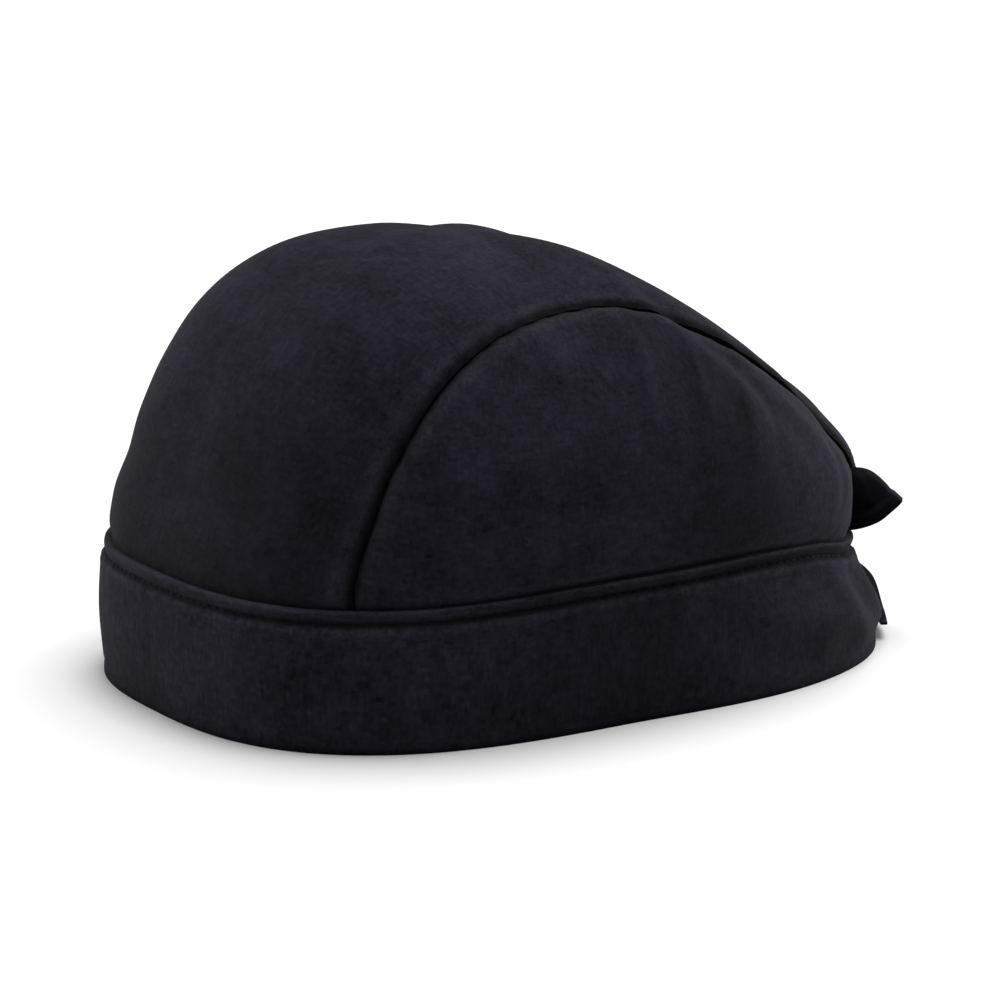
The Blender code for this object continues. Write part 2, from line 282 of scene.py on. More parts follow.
        def reach(flat: float, fullness: Table) -> Numbers:
            """Radius of one outline: an ellipse made fuller or leaner by a table."""
            plain = 1 / np.hypot(np.cos(elevation) / flat, np.sin(elevation) / self.crown_rise)
            return plain * fullness.at(degrees)

        front = reach(self.front_reach - inset, self.front_fullness)
        back = reach(self.band_length - self.front_reach - inset, self.back_fullness)
        side = reach(self.band_width / 2 - inset, self.side_fullness)
        power = 2 + (self.squareness - 2) * np.cos(elevation) ** self.rounding
        return self.egg(azimuth, front, back, side, power)

    def fold_height(self, azimuth: Numbers, elevation: Numbers) -> Numbers:
        """How far the broad folds raise the crown.

        Args:
            azimuth: Angles in radians.
            elevation: Angles over the band's top, in radians.

        Returns:
            The height at each pair of angles.
        """
        across, up = off_front(azimuth), np.degrees(elevation)
        total = np.zeros_like(up)
        for fold in self.folds:
            along = up - fold.elevation
            off = across - fold.azimuth + fold.lean * along
            total += fold.depth * bump(off / fold.width) * bump(along / fold.length)
        return self.cloth * total * ease(up / 8)

    def crown_point(self, azimuth: Numbers, elevation: Numbers, raised: Numbers = 0.0) -> Numbers:
        """Point of the crown's outer face.

        Args:
            azimuth: Angles in radians.
            elevation: Angles over the band's top, in radians.
            raised: Distance outwards from the face.

        Returns:
            One row of x, y and z for each pair of angles.
        """
        radius = self.crown_radius(azimuth, elevation) + self.fold_height(azimuth, elevation) + raised
        settled = (1 - np.sin(elevation)) ** self.settle
        level = self.band_height + (self.band_top(azimuth) - self.band_height) * settled
        return ground(azimuth, radius * np.cos(elevation), level + radius * np.sin(elevation))

    def overhang(self, azimuth: Numbers, elevation: Numbers) -> Numbers:
        """How far the soft crown swells out just over the band's top edge.

        Args:
            azimuth: Angles in radians.
            elevation: Angles over the band's top, in radians.

        Returns:
            The swell at each pair of angles, less at the front and the back.
        """
        rise = np.degrees(elevation)
        swell = (self.lap_start + self.lap_swell * ease(rise / 2.8)) * np.exp(-np.maximum(rise - 3.5, 0) / 6)
        front = bump(off_front(azimuth) / 50)
        back = bump((off_front(azimuth) - 180) / 40)
        return swell * (1 - 0.35 * back - 0.75 * front) - self.front_hollow * front * bump((rise - 9) / 7)

    def crown_angles(self, over: Numbers, sideways: Numbers) -> tuple[Numbers, Numbers]:
        """Where the crown is, given an angle over it and a sideways distance.

        Args:
            over: Angle over the crown from the front, in radians.
            sideways: Distance from the middle plane.

        Returns:
            The azimuth and the elevation there.
        """
        lean = np.zeros_like(over + sideways)
        for _ in range(24):
            azimuth = np.arctan2(np.sin(lean), np.cos(lean) * np.cos(over))
            elevation = np.arcsin(np.maximum(np.cos(lean) * np.sin(over), 0.0))
            lean = np.arcsin(np.clip(sideways / self.crown_radius(azimuth, elevation), -0.999, 0.999))
        return azimuth, elevation

    def half_width(self, over: Numbers) -> Numbers:
        """Half width of the centre panel at an angle over the crown."""
        return self.seam_half_width * self.seam_share.at(np.degrees(over))

    def seam_valley(self, distance: Numbers, over: Numbers) -> Numbers:
        """How far the crown dips beside a seam."""
        return self.seam_dip * bump(distance / self.seam_dip_width) * ease(np.degrees(over) / 12)

    def strap_azimuth(self, sideways: Numbers) -> Numbers:
        """Azimuth on the back of the band.

        Args:
            sideways: Distances from the middle plane.

        Returns:
            The azimuth at each distance.
        """
        azimuth = np.full_like(sideways, math.pi)
        for _ in range(12):
            azimuth = math.pi - np.arcsin(sideways / self.band_radius(azimuth))
        return azimuth


FORM = CapForm()


def frame_shift() -> float:
    """Where the cap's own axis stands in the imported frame.

    Returns:
        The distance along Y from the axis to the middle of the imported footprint.
    """
    heights = FORM.foot + (FORM.band_height - FORM.lip - FORM.foot) * np.arange(6) / 5
    lowest = FORM.band_point(np.zeros(6), heights)[:, 1].min()
    return float(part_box("headband")[0][1] - lowest)


SHIFT = frame_shift()


@dataclass(frozen=True)
class Crease:
    """A narrow fold along a curve on the crown: ends by azimuth and elevation, width and height in mm."""

    start: Point
    end: Point
    width: float
    height: float

    def raises(self, points: Numbers, side: int = 1) -> Numbers:
        """How far the fold raises the cloth.

        Args:
            points: Points of the cloth in the cap's own frame.
            side: 1 for the wearer's left, -1 for the right.

        Returns:
            The height at each point.
        """
        shares = np.linspace(0, 1, 15)
        azimuth = np.radians(self.start[0] + (self.end[0] - self.start[0]) * shares)
        elevation = np.radians(self.start[1] + (self.end[1] - self.start[1]) * shares)
        spine = FORM.crown_point(azimuth, elevation) * np.array([side, 1, 1])
        best = np.full(len(points), 1e9)
        along = np.zeros(len(points))
        for index in range(len(spine) - 1):
            run = spine[index + 1] - spine[index]
            t = np.clip((points - spine[index]) @ run / (run @ run), 0, 1)
            gap = np.linalg.norm(points - spine[index] - t[:, None] * run, axis=1)
            closer = gap < best
            best = np.where(closer, gap, best)
            along = np.where(closer, (index + t) / (len(spine) - 1), along)
        return self.height * MM * bump(best / (self.width * MM)) * np.sin(math.pi * along) ** 0.6


def ripple(
    points: Numbers, size: float, seed: float, stretch: tuple[float, float, float] = (1, 1, 1)
) -> Numbers:
    """Smooth unevenness between -1 and 1.

    Args:
        points: Places in metres.
        size: Size of one swell in metres.
        seed: Offset that tells one piece's unevenness from another's.
        stretch: Factors on x, y and z.

    Returns:
        One value for each point.
    """
    scaled = points * np.array(stretch) / size + seed
    return np.array([noise.noise(Vector(row)) for row in scaled])


@dataclass(frozen=True)
class Streak:
    """A ridge or groove along a line: how far off the line it is, its width and its height, all in mm."""

    off: float
    width: float
    height: float

    def over(self, distance: Numbers) -> Numbers:
        """Height at distances from the line, which are in metres."""
        return self.height * bump((distance - self.off * MM) / (self.width * MM))


@dataclass(frozen=True)
class Pucker:
    """Small waves that a seam pulls into cloth: height, wave and reach, all in mm."""

    height: float
    wave: float
    reach: float

    def over(self, run: Numbers, distance: Numbers, sway: Numbers = 0.0) -> Numbers:
        """Height of the waves.

        Args:
            run: Places along the seam in metres.
            distance: Distances from the seam in metres.
            sway: Shift of the waves, in radians.

        Returns:
            The height at each place, in mm.
        """
        return self.height * np.sin(run / (self.wave * MM) + sway) * np.exp(-distance / (self.reach * MM))


@dataclass(frozen=True)
class Mound:
    """A broad rise on the crown's top: how far ahead, half width, half length and height, in mm."""

    ahead: float
    width: float
    length: float
    height: float

    def over(self, points: Numbers) -> Numbers:
        """Height of the rise, in mm, at points of the cloth."""
        side, ahead = points[:, 0] / MM, -points[:, 1] / MM
        return self.height * bump(np.hypot(side / self.width, (ahead - self.ahead) / self.length))


@dataclass(frozen=True)
class Swell:
    """One layer of random unevenness: size in metres, height in mm, seed offset and factors on x, y and z."""

    size: float
    height: float
    offset: float
    stretch: tuple[float, float, float] = (1, 1, 1)


class Signal:
    """A shader socket whose arithmetic adds Math nodes."""

    def __init__(self, bench: "ShaderBench", socket: bpy.types.NodeSocket) -> None:
        """Wraps a socket of a bench's node tree."""
        self.bench = bench
        self.socket = socket

    def __add__(self, other: "Signal | float") -> "Signal":
        """Sum."""
        return self.bench.maths("ADD", self, other)

    def __sub__(self, other: "Signal | float") -> "Signal":
        """Difference."""
        return self.bench.maths("SUBTRACT", self, other)

    def __rsub__(self, other: float) -> "Signal":
        """Difference from a number."""
        return self.bench.maths("SUBTRACT", other, self)

    def __mul__(self, other: "Signal | float") -> "Signal":
        """Product."""
        return self.bench.maths("MULTIPLY", self, other)

    def __truediv__(self, other: "Signal | float") -> "Signal":
        """Quotient."""
        return self.bench.maths("DIVIDE", self, other)

    __radd__ = __add__
    __rmul__ = __mul__


class ShaderBench:
    """Builds one material's nodes."""

    def __init__(self, name: str) -> None:
        """Starts a new material with its own Principled shader.

        Args:
            name: The material's name.
        """
        self.material = bpy.data.materials.new(name)
        self.material.use_nodes = True
        self.tree = self.material.node_tree
        self.shader = self.tree.nodes["Principled BSDF"]

    def feed(self, socket: bpy.types.NodeSocket, value: Any) -> None:
        """Links a signal to a socket, or sets the socket's value.

        Args:
            socket: The input to feed.
            value: A signal or a plain value.
        """
        if isinstance(value, Signal):
            self.tree.links.new(value.socket, socket)
        else:
            socket.default_value = value

    def node(self, kind: str, settings: dict[str, Any], inputs: dict[Any, Any]) -> bpy.types.Node:
        """Adds a node.

        Args:
            kind: The node's type.
            settings: Properties, set before its sockets.
            inputs: Values or signals by socket name or number.

        Returns:
            The new node.
        """
        made = self.tree.nodes.new(kind)
        for key, value in settings.items():
            setattr(made, key, value)
        for key, value in inputs.items():
            self.feed(made.inputs[key], value)
        return made

    def signal(self, node: bpy.types.Node, output: int | str = 0) -> Signal:
        """One output of a node as a signal."""
        return Signal(self, node.outputs[output])

    def maths(self, operation: str, first: Any, second: Any = 0.0, third: Any = 0.0) -> Signal:
        """Result of a Math node.

        Args:
            operation: The Math node's operation.
            first: First value or signal.
            second: Second value or signal.
            third: Third value or signal.

        Returns:
            The node's result.
        """
        inputs = {0: first, 1: second, 2: third}
        return self.signal(self.node("ShaderNodeMath", {"operation": operation}, inputs))

    def noise(self, vector: Signal, scale: float, detail: float = 2.0, roughness: float = 0.5) -> Signal:
        """Noise between 0 and 1.

        Args:
            vector: Where to read it.
            scale: Swells in a unit of the vector.
            detail: Finer layers.
            roughness: Strength of the finer layers.

        Returns:
            The noise as a signal.
        """
        inputs = {"Vector": vector, "Scale": scale, "Detail": detail, "Roughness": roughness}
        return self.signal(self.node("ShaderNodeTexNoise", {}, inputs), "Fac")

    def vector(self, x: Any, y: Any, z: Any = 0.0) -> Signal:
        """A vector from three values or signals."""
        return self.signal(self.node("ShaderNodeCombineXYZ", {}, {0: x, 1: y, 2: z}))


class Dye(Enum):
    """Colours of the cap's cloth and thread, in linear light."""

    CLOTH = (0.0075, 0.0069, 0.0108)
    # Lighter dye for wear, also used as a painted highlight on crests and edges.
    WORN_AND_HIGHLIGHT = (0.0210, 0.0196, 0.0285)
    THREAD = (0.0016, 0.0015, 0.0024)


@dataclass(frozen=True)
class ClothFinish:
    """Plain-weave cotton with slubs: thread pitch in metres, and how strong each effect is."""

    name: str
    pitch: float = 0.00052
    slub: float = 0.62
    mottle: float = 0.70
    relief: float = 0.45
    sheen: float = 0.026
    roughness: float = 0.85
    wander: float = 2.6
    specks: float = 0.6
    bump_depth: float = 0.00022

    def material(self) -> bpy.types.Material:
        """Builds the finish's material.

        Returns:
            A material that reads the piece's cloth UV map and its attribute of wear and painted light:
            painted shade darkens the colour, and wear and painted highlight lighten it towards the lighter
            dye.
        """
        bench = ShaderBench(self.name)
        cloth = bench.signal(bench.node("ShaderNodeUVMap", {"uv_map": "cloth"}, {}))
        wear_and_painted_light = bench.signal(bench.node("ShaderNodeAttribute", {"attribute_name": "wear_and_painted_light"}, {}), "Fac")
        split = bench.node("ShaderNodeSeparateXYZ", {}, {0: cloth})
        sway = (bench.noise(cloth, 160.0, 1.0) - 0.5) * self.wander
        warp = bench.signal(split, 0) / self.pitch + sway
        weft = bench.signal(split, 1) / self.pitch + sway
        warp_wave = bench.maths("SINE", warp * math.pi)
        weft_wave = bench.maths("SINE", weft * math.pi)
        weave = warp_wave * weft_wave
        warp_round = bench.maths("ABSOLUTE", warp_wave) * (weave * 0.4 + 0.6)
        weft_round = bench.maths("ABSOLUTE", weft_wave) * (0.6 - weave * 0.4)
        threads = bench.maths("MAXIMUM", warp_round, weft_round)
        along_warp = bench.vector(bench.maths("FLOOR", warp / 1.7) * 3.7, weft / 7.0)
        along_weft = bench.vector(warp / 7.0, bench.maths("FLOOR", weft / 1.7) * 3.7, 9.0)
        slubs = bench.noise(along_warp, 1.0, 2.0, 0.6) + bench.noise(along_weft, 1.0, 2.0, 0.6) - 1.0
        mottle = bench.noise(cloth, 95.0, 4.0, 0.62) - 0.5
        patches = bench.noise(cloth, 38.0, 3.0, 0.55) - 0.5
        specks = bench.noise(cloth, 950.0, 1.0) - 0.5
        tone = 1.0 + slubs * self.slub * 2.0 + (mottle + patches) * self.mottle * 2.0 + specks * self.specks
        # Painted shade: negative values of the wear and painted light attribute darken the colour.
        tone = tone * (threads * 0.16 + 0.90) * bench.maths("MINIMUM", wear_and_painted_light * 0.85 + 1.0, 1.0)
        # Wear and painted highlight: positive values mix in the lighter dye, on top of a little random wear
        # from the slubs.
        worn_and_painted_light = bench.maths("MULTIPLY_ADD", wear_and_painted_light, 0.6, 0.08)
        worn_and_painted_light = bench.maths("MINIMUM", bench.maths("MAXIMUM", worn_and_painted_light + slubs * 0.12, 0.0), 1.0)
        colours = {6: (*Dye.CLOTH.value, 1.0), 7: (*Dye.WORN_AND_HIGHLIGHT.value, 1.0)}
        dyed = bench.node("ShaderNodeMix", {"data_type": "RGBA"}, {0: worn_and_painted_light, **colours})
        toned = {0: bench.signal(dyed, 2), "Scale": tone}
        scaled = bench.node("ShaderNodeVectorMath", {"operation": "SCALE"}, toned)
        bench.feed(bench.shader.inputs["Base Color"], bench.signal(scaled))
        rough = self.roughness + mottle * 0.16 - slubs * 0.05
        bench.feed(bench.shader.inputs["Roughness"], bench.maths("MINIMUM", rough, 1.0))
        height = threads * 0.5 + slubs * 0.6 + mottle * 1.6
        depth = {"Strength": self.relief, "Distance": self.bump_depth, "Height": height}
        raised = bench.node("ShaderNodeBump", {}, depth)
        bench.feed(bench.shader.inputs["Normal"], bench.signal(raised))
        bench.shader.inputs["Sheen Weight"].default_value = self.sheen
        bench.shader.inputs["Sheen Roughness"].default_value = 0.45
        bench.shader.inputs["Sheen Tint"].default_value = (0.82, 0.79, 1.0, 1.0)
        bench.shader.inputs["Specular IOR Level"].default_value = 0.04
        return bench.material


@dataclass(frozen=True)
class ThreadFinish:
    """Twisted sewing thread."""

    name: str
    twist: float = 0.00045

    def material(self) -> bpy.types.Material:
        """Builds the thread's material.

        Returns:
            A material that reads the piece's Object coordinates.
        """
        bench = ShaderBench(self.name)
        place = bench.signal(bench.node("ShaderNodeTexCoord", {}, {}), "Object")
        fuzz = bench.noise(place, 1 / self.twist, 2.0, 0.6)
        tone = fuzz * 0.8 + 0.6
        toned = {0: Dye.THREAD.value, "Scale": tone}
        colour = bench.node("ShaderNodeVectorMath", {"operation": "SCALE"}, toned)
        bench.feed(bench.shader.inputs["Base Color"], bench.signal(colour))
        bench.feed(bench.shader.inputs["Roughness"], fuzz * 0.2 + 0.5)
        raised = bench.node("ShaderNodeBump", {}, {"Strength": 0.5, "Distance": 0.0001, "Height": fuzz})
        bench.feed(bench.shader.inputs["Normal"], bench.signal(raised))
        bench.shader.inputs["Specular IOR Level"].default_value = 0.06
        return bench.material


def facing(azimuth: float, elevation: float) -> Vector:
    """Direction out from the cap at an azimuth from its front and an elevation, in degrees."""
    az, el = math.radians(azimuth), math.radians(elevation)
    return Vector((math.sin(az) * math.cos(el), -math.cos(az) * math.cos(el), math.sin(el)))


def scene_object(name: str, shape: bmesh.types.BMesh) -> bpy.types.Object:
    """Adds a shape to the scene and frees it.

    Args:
        name: Name of the object and of its mesh.
        shape: The shape.

    Returns:
        The new object, at the origin.
    """
    mesh = bpy.data.meshes.new(name)
    shape.to_mesh(mesh)
    shape.free()
    made = bpy.data.objects.new(name, mesh)
    bpy.context.scene.collection.objects.link(made)
    return made


def settle(piece: bpy.types.Object, nodes: Sequence[str], slot: str, material: bpy.types.Material) -> None:
    """Gives a finished piece its material, hangs it from the root body and hides the imported parts that it
    stands for.

    Args:
        piece: The piece, with its place in its mesh.
        nodes: CAD nodes that it stands for.
        slot: Not used.
        material: Its material.
    """
    piece.data.materials.clear()
    piece.data.materials.append(material)
    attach(piece, "root")
    if nodes:
        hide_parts(*nodes)
    LOG.info("%s: %d faces, for %s", piece.name, len(piece.data.polygons), ", ".join(nodes) or "no node")


@dataclass
class ClothPiece:
    """A cloth piece: an open grid laid over the cap's form, given relief, a wall and rounded edges."""

    name: str
    nodes: tuple[str, ...]
    slot: str
    columns: int
    rows: int
    thickness: float
    rim: float = 0.0004
    width: float = 0.12
    length: float = 0.30
    seed: float = 0.0
    swells: tuple[Swell, ...] = ()

    def place(self, u: Numbers, v: Numbers) -> Numbers:
        """Main shape, in the cap's own frame."""
        raise NotImplementedError

    def relief(self, u: Numbers, v: Numbers, points: Numbers) -> Numbers:
        """Fine height over the main shape."""
        raise NotImplementedError

    def wear_and_painted_light(self, u: Numbers, v: Numbers, points: Numbers) -> Numbers:
        """Wear and painted light, from -1 for painted shade in a groove to 1 for wear and painted highlight
        on an edge.
        """
        return np.zeros(len(u))

    def uneven(self, points: Numbers) -> Numbers:
        """Random unevenness of the cloth in mm, at points of its main shape."""
        return sum(s.height * ripple(points, s.size, self.seed + s.offset, s.stretch) for s in self.swells)

    def surface(self, u: Numbers, v: Numbers) -> tuple[Numbers, Numbers]:
        """Finished outer face.

        Args:
            u: Shares across the piece.
            v: Shares along the piece.

        Returns:
            The points and the unit normals, in the cap's own frame.
        """
        step = 2e-4
        points = self.place(u, v)
        across = self.place(np.minimum(u + step, 1), v) - self.place(np.maximum(u - step, 0), v)
        along = self.place(u, np.minimum(v + step, 1)) - self.place(u, np.maximum(v - step, 0))
        normals = np.cross(across, along)
        size = np.linalg.norm(normals, axis=1, keepdims=True)
        normals = np.where(size > 1e-14, normals / np.maximum(size, 1e-14), 0.0)
        return points + normals * self.relief(u, v, points)[:, None], normals

    def cut(self, u: Numbers, v: Numbers) -> Numbers:
        """Places on the flat cloth that the piece is cut from."""
        return np.stack([u * self.width, v * self.length], axis=-1)

    def lap(self, points: Numbers) -> Numbers:
        """How far the crown swells over the band at points of its face.

        Args:
            points: Points of the crown's main shape.

        Returns:
            The swell at each point.
        """
        azimuth = np.arctan2(points[:, 0], -points[:, 1])
        rise = np.maximum(points[:, 2] - FORM.band_top(azimuth), 0.0)
        return FORM.overhang(azimuth, np.arctan2(rise, np.hypot(points[:, 0], points[:, 1])))

    def build(self, material: bpy.types.Material) -> bpy.types.Object:
        """Builds the piece.

        Args:
            material: The finish.

        Returns:
            The piece, settled in the frame.
        """
        sheet = bmesh.new()
        layer = sheet.loops.layers.uv.new("cloth")
        bmesh.ops.create_grid(sheet, x_segments=self.columns, y_segments=self.rows, size=1.0)
        flat = np.array([vertex.co[:2] for vertex in sheet.verts])
        u, v = (flat[:, 0] + 1) / 2, (flat[:, 1] + 1) / 2
        points, _ = self.surface(u, v)
        # The attribute carries wear, painted highlight and painted shade for the finish.
        worn_and_painted_light, cut = self.wear_and_painted_light(u, v, points), self.cut(u, v)
        mark = sheet.verts.layers.float.new("wear_and_painted_light")
        for vertex, point, tone in zip(sheet.verts, points, worn_and_painted_light):
            vertex.co = (point[0], point[1] + SHIFT, point[2])
            vertex[mark] = float(tone)
        for face in sheet.faces:
            face.smooth = True
            for loop in face.loops:
                loop[layer].uv = cut[loop.vert.index]
        bmesh.ops.remove_doubles(sheet, verts=sheet.verts, dist=2e-6)
        piece = scene_object(self.name, sheet)
        wall = piece.modifiers.new("wall", "SOLIDIFY")
        wall.thickness = self.thickness
        wall.offset = -1.0
        edge = piece.modifiers.new("folded edge", "BEVEL")
        edge.width = self.rim
        edge.segments = 2
        edge.limit_method = "ANGLE"
        edge.angle_limit = math.radians(60)
        settle(piece, self.nodes, self.slot, material)
        return piece


@dataclass
class CentrePanel(ClothPiece):
    """The centre panel, from the band at the front over the crown to the flap's hem."""

    swells: tuple[Swell, ...] = (Swell(0.045, 0.2, 3.1), Swell(0.013, 0.14, 7.7))
    cad_rows: int = 37
    crown_rows: int = 30
    arch: float = 0.004
    corner_back: float = 0.019
    corner_drop: float = 0.0092
    corner_spread: float = 0.001
    centre_back: float = 0.005
    centre_drop: float = 0.025
    sharpness: float = 3.0
    lift: float = 0.0032
    refill: float = 0.65
    flap_length: float = 0.024
    hem_stitches: float = 0.2165
    hem_rise: float = 0.35
    hem_depth: float = 0.0045
    hem_edge: Streak = Streak(0.0, 1.6, 0.35)
    hem_groove: Streak = Streak(5.2, 0.6, -0.25)
    seam_roll: Streak = Streak(0.0, 1.3, -1.1)
    rear_crest: Streak = Streak(3.5, 4.5, 0.7)
    pucker: Pucker = Pucker(0.16, 1.25, 3.5)
    mounds: tuple[Mound, ...] = (Mound(7, 18, 18, 1.8), Mound(0, 45, 45, 0.3), Mound(-28, 26, 8, 0.6))
    creases: tuple[Crease, ...] = (
        Crease((-20, 60), (58, 66), 2.2, -0.30),
        Crease((-14, 64), (50, 70), 2.6, 0.25),
        Crease((126, 64), (117, 52), 2.6, 0.55),
        Crease((134, 58), (122, 50), 2.8, -0.45),
        Crease((-118, 60), (-124, 40), 4.0, 0.6),
        Crease((-28, 20), (-8, 34), 5.0, 0.35),
        Crease((20, 40), (38, 22), 5.0, -0.35),
    )
    # Painted light on the centre panel: wear and painted highlight on the crests and the hem, painted shade
    # in the seams, along the rear seams and on the flap.
    crest_wear_and_highlight: Streak = Streak(2.8, 1.5, 0.40)
    seam_painted_shade: Streak = Streak(0.0, 1.0, -1.0)
    rear_seam_painted_shade: Streak = Streak(0.0, 4.5, -0.45)
    hem_wear_and_highlight: Streak = Streak(0.0, 1.2, 0.5)
    flap_painted_shade: Streak = Streak(0.0, 14.0, -0.45)
    front_shade: float = 0.2

    def spread(self, u: Numbers) -> Numbers:
        """Across from -1 to 1, with closer columns along the edges."""
        t = 2 * u - 1
        return t * (1 + 0.36 * (1 - t * t))

    def flap_rows(self) -> int:
        """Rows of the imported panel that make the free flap."""
        return self.cad_rows - 1 - self.crown_rows

    def over(self, v: Numbers) -> Numbers:
        """Angle over the crown from the front, past the one row that is tucked into the band."""
        share = np.clip((v * self.cad_rows - 1) / self.crown_rows, 0, 1)
        return math.radians(FORM.flap_root) * share

    def flap(self, v: Numbers) -> Numbers:
        """Share of the way down the free flap."""
        return np.maximum(v * self.cad_rows - 1 - self.crown_rows, 0) / self.flap_rows()

    def along_flap(self, flap: float) -> float:
        """Share along the whole panel of a share down the flap."""
        return 1 - (1 - flap) * self.flap_rows() / self.cad_rows

    def to_seam(self, u: Numbers, v: Numbers) -> Numbers:
        """Distance from the nearer long edge."""
        return (1 - np.abs(self.spread(u))) * FORM.half_width(self.over(v))

    def place(self, u: Numbers, v: Numbers) -> Numbers:
        """Main shape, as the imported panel's, with the flap's side edges lifted a little.

        Args:
            u: Shares across the panel.
            v: Shares along the panel, from the front to the hem.

        Returns:
            The points, in the cap's own frame.
        """
        across, over, flap = self.spread(u), self.over(v), self.flap(v)
        azimuth, elevation = FORM.crown_angles(over, across * (FORM.half_width(over) - FORM.gap / 2))
        dip = FORM.seam_valley(self.to_seam(u, v), over) * ease(elevation / math.radians(6))
        arch = self.arch * bump((np.degrees(over) - 163) / 9) * (1 - across * across)
        points = FORM.crown_point(azimuth, elevation, arch - dip)
        points[:, 2] -= FORM.tuck * np.clip(1 - v * self.cad_rows, 0, 1)
        corner = np.abs(across) ** self.sharpness
        hang = 1 - (1 - flap) ** 2
        back = self.centre_back * hang * (1 - corner) + self.corner_back * flap * corner
        drop = self.centre_drop * flap * (1 - corner) + self.corner_drop * flap**1.4 * corner
        down = (np.degrees(over) - FORM.flap_root) / 18 + flap
        points[:, 0] += np.copysign(self.corner_spread * flap**3 * corner, across)
        points[:, 1] += back
        points[:, 2] += self.lift * bump((down - 0.4) / 0.45) * across**2 - drop
        return points

    def relief(self, u: Numbers, v: Numbers, points: Numbers) -> Numbers:
        """Seam rolls, puckers, creases, hems and a soft unevenness.

        Args:
            u: Shares across the panel.
            v: Shares along the panel.
            points: Points of the main shape.

        Returns:
            The height over the main shape.
        """
        edge, flap, over = self.to_seam(u, v), self.flap(v), self.over(v)
        degrees = np.degrees(over)
        crown = 1 - ease(flap * 6)
        behind = ease((degrees - 104) / 20) * (1 - ease(flap * 3))
        run = points[:, 1] * np.sign(u - 0.5) + points[:, 2] * 0.6
        sway = 2 * ripple(points, 0.03, self.seed)
        seam = self.seam_roll.over(edge) * (1 - 0.45 * behind) + self.pucker.over(run, edge, sway)
        hem = (1 - flap) * self.flap_length
        folded = self.hem_rise * ease((self.hem_depth - hem) / (1.2 * MM))
        folded += self.hem_edge.over(edge) + self.hem_groove.over(hem)
        shaped = seam * ease(degrees / 5) * crown + behind * self.rear_crest.over(edge)
        shaped += sum(mound.over(points) for mound in self.mounds) + self.uneven(points)
        total = MM * (shaped + ease(flap * 5) * folded)
        total += sum(crease.raises(points) for crease in self.creases)
        total += self.refill * FORM.seam_valley(edge, over) * ease(degrees / 5) * crown
        return total + self.lap(points) * crown

    def wear_and_painted_light(self, u: Numbers, v: Numbers, points: Numbers) -> Numbers:
        """Wear and painted highlight on the crest beside the seams and on the hem, painted shade in the
        seams, along the rear seams, on the flap and low at the front.

        Args:
            u: Shares across the panel.
            v: Shares along the panel.
            points: Points of the finished face.

        Returns:
            The wear and painted light, from -1 to 1.
        """
        edge, flap = self.to_seam(u, v), self.flap(v)
        behind = ease((np.degrees(self.over(v)) - 118) / 20)
        # Wear and painted highlight on the crests, painted shade in the seams and along the rear seams.
        seam = self.crest_wear_and_highlight.over(edge) + self.seam_painted_shade.over(edge) + self.rear_seam_painted_shade.over(edge) * behind
        azimuth = np.arctan2(points[:, 0], -points[:, 1])
        shaded = self.front_shade * bump((off_front(azimuth) - 25) / 25) * ease((0.09 - points[:, 2]) / 0.03)
        # Wear and painted highlight on the flap's hem, painted shade over the flap.
        hem = self.hem_wear_and_highlight.over(edge) * ease(flap * 5) + self.flap_painted_shade.over(edge) * ease(flap * 3)
        return seam * (1 - ease(flap * 6)) + hem - shaded


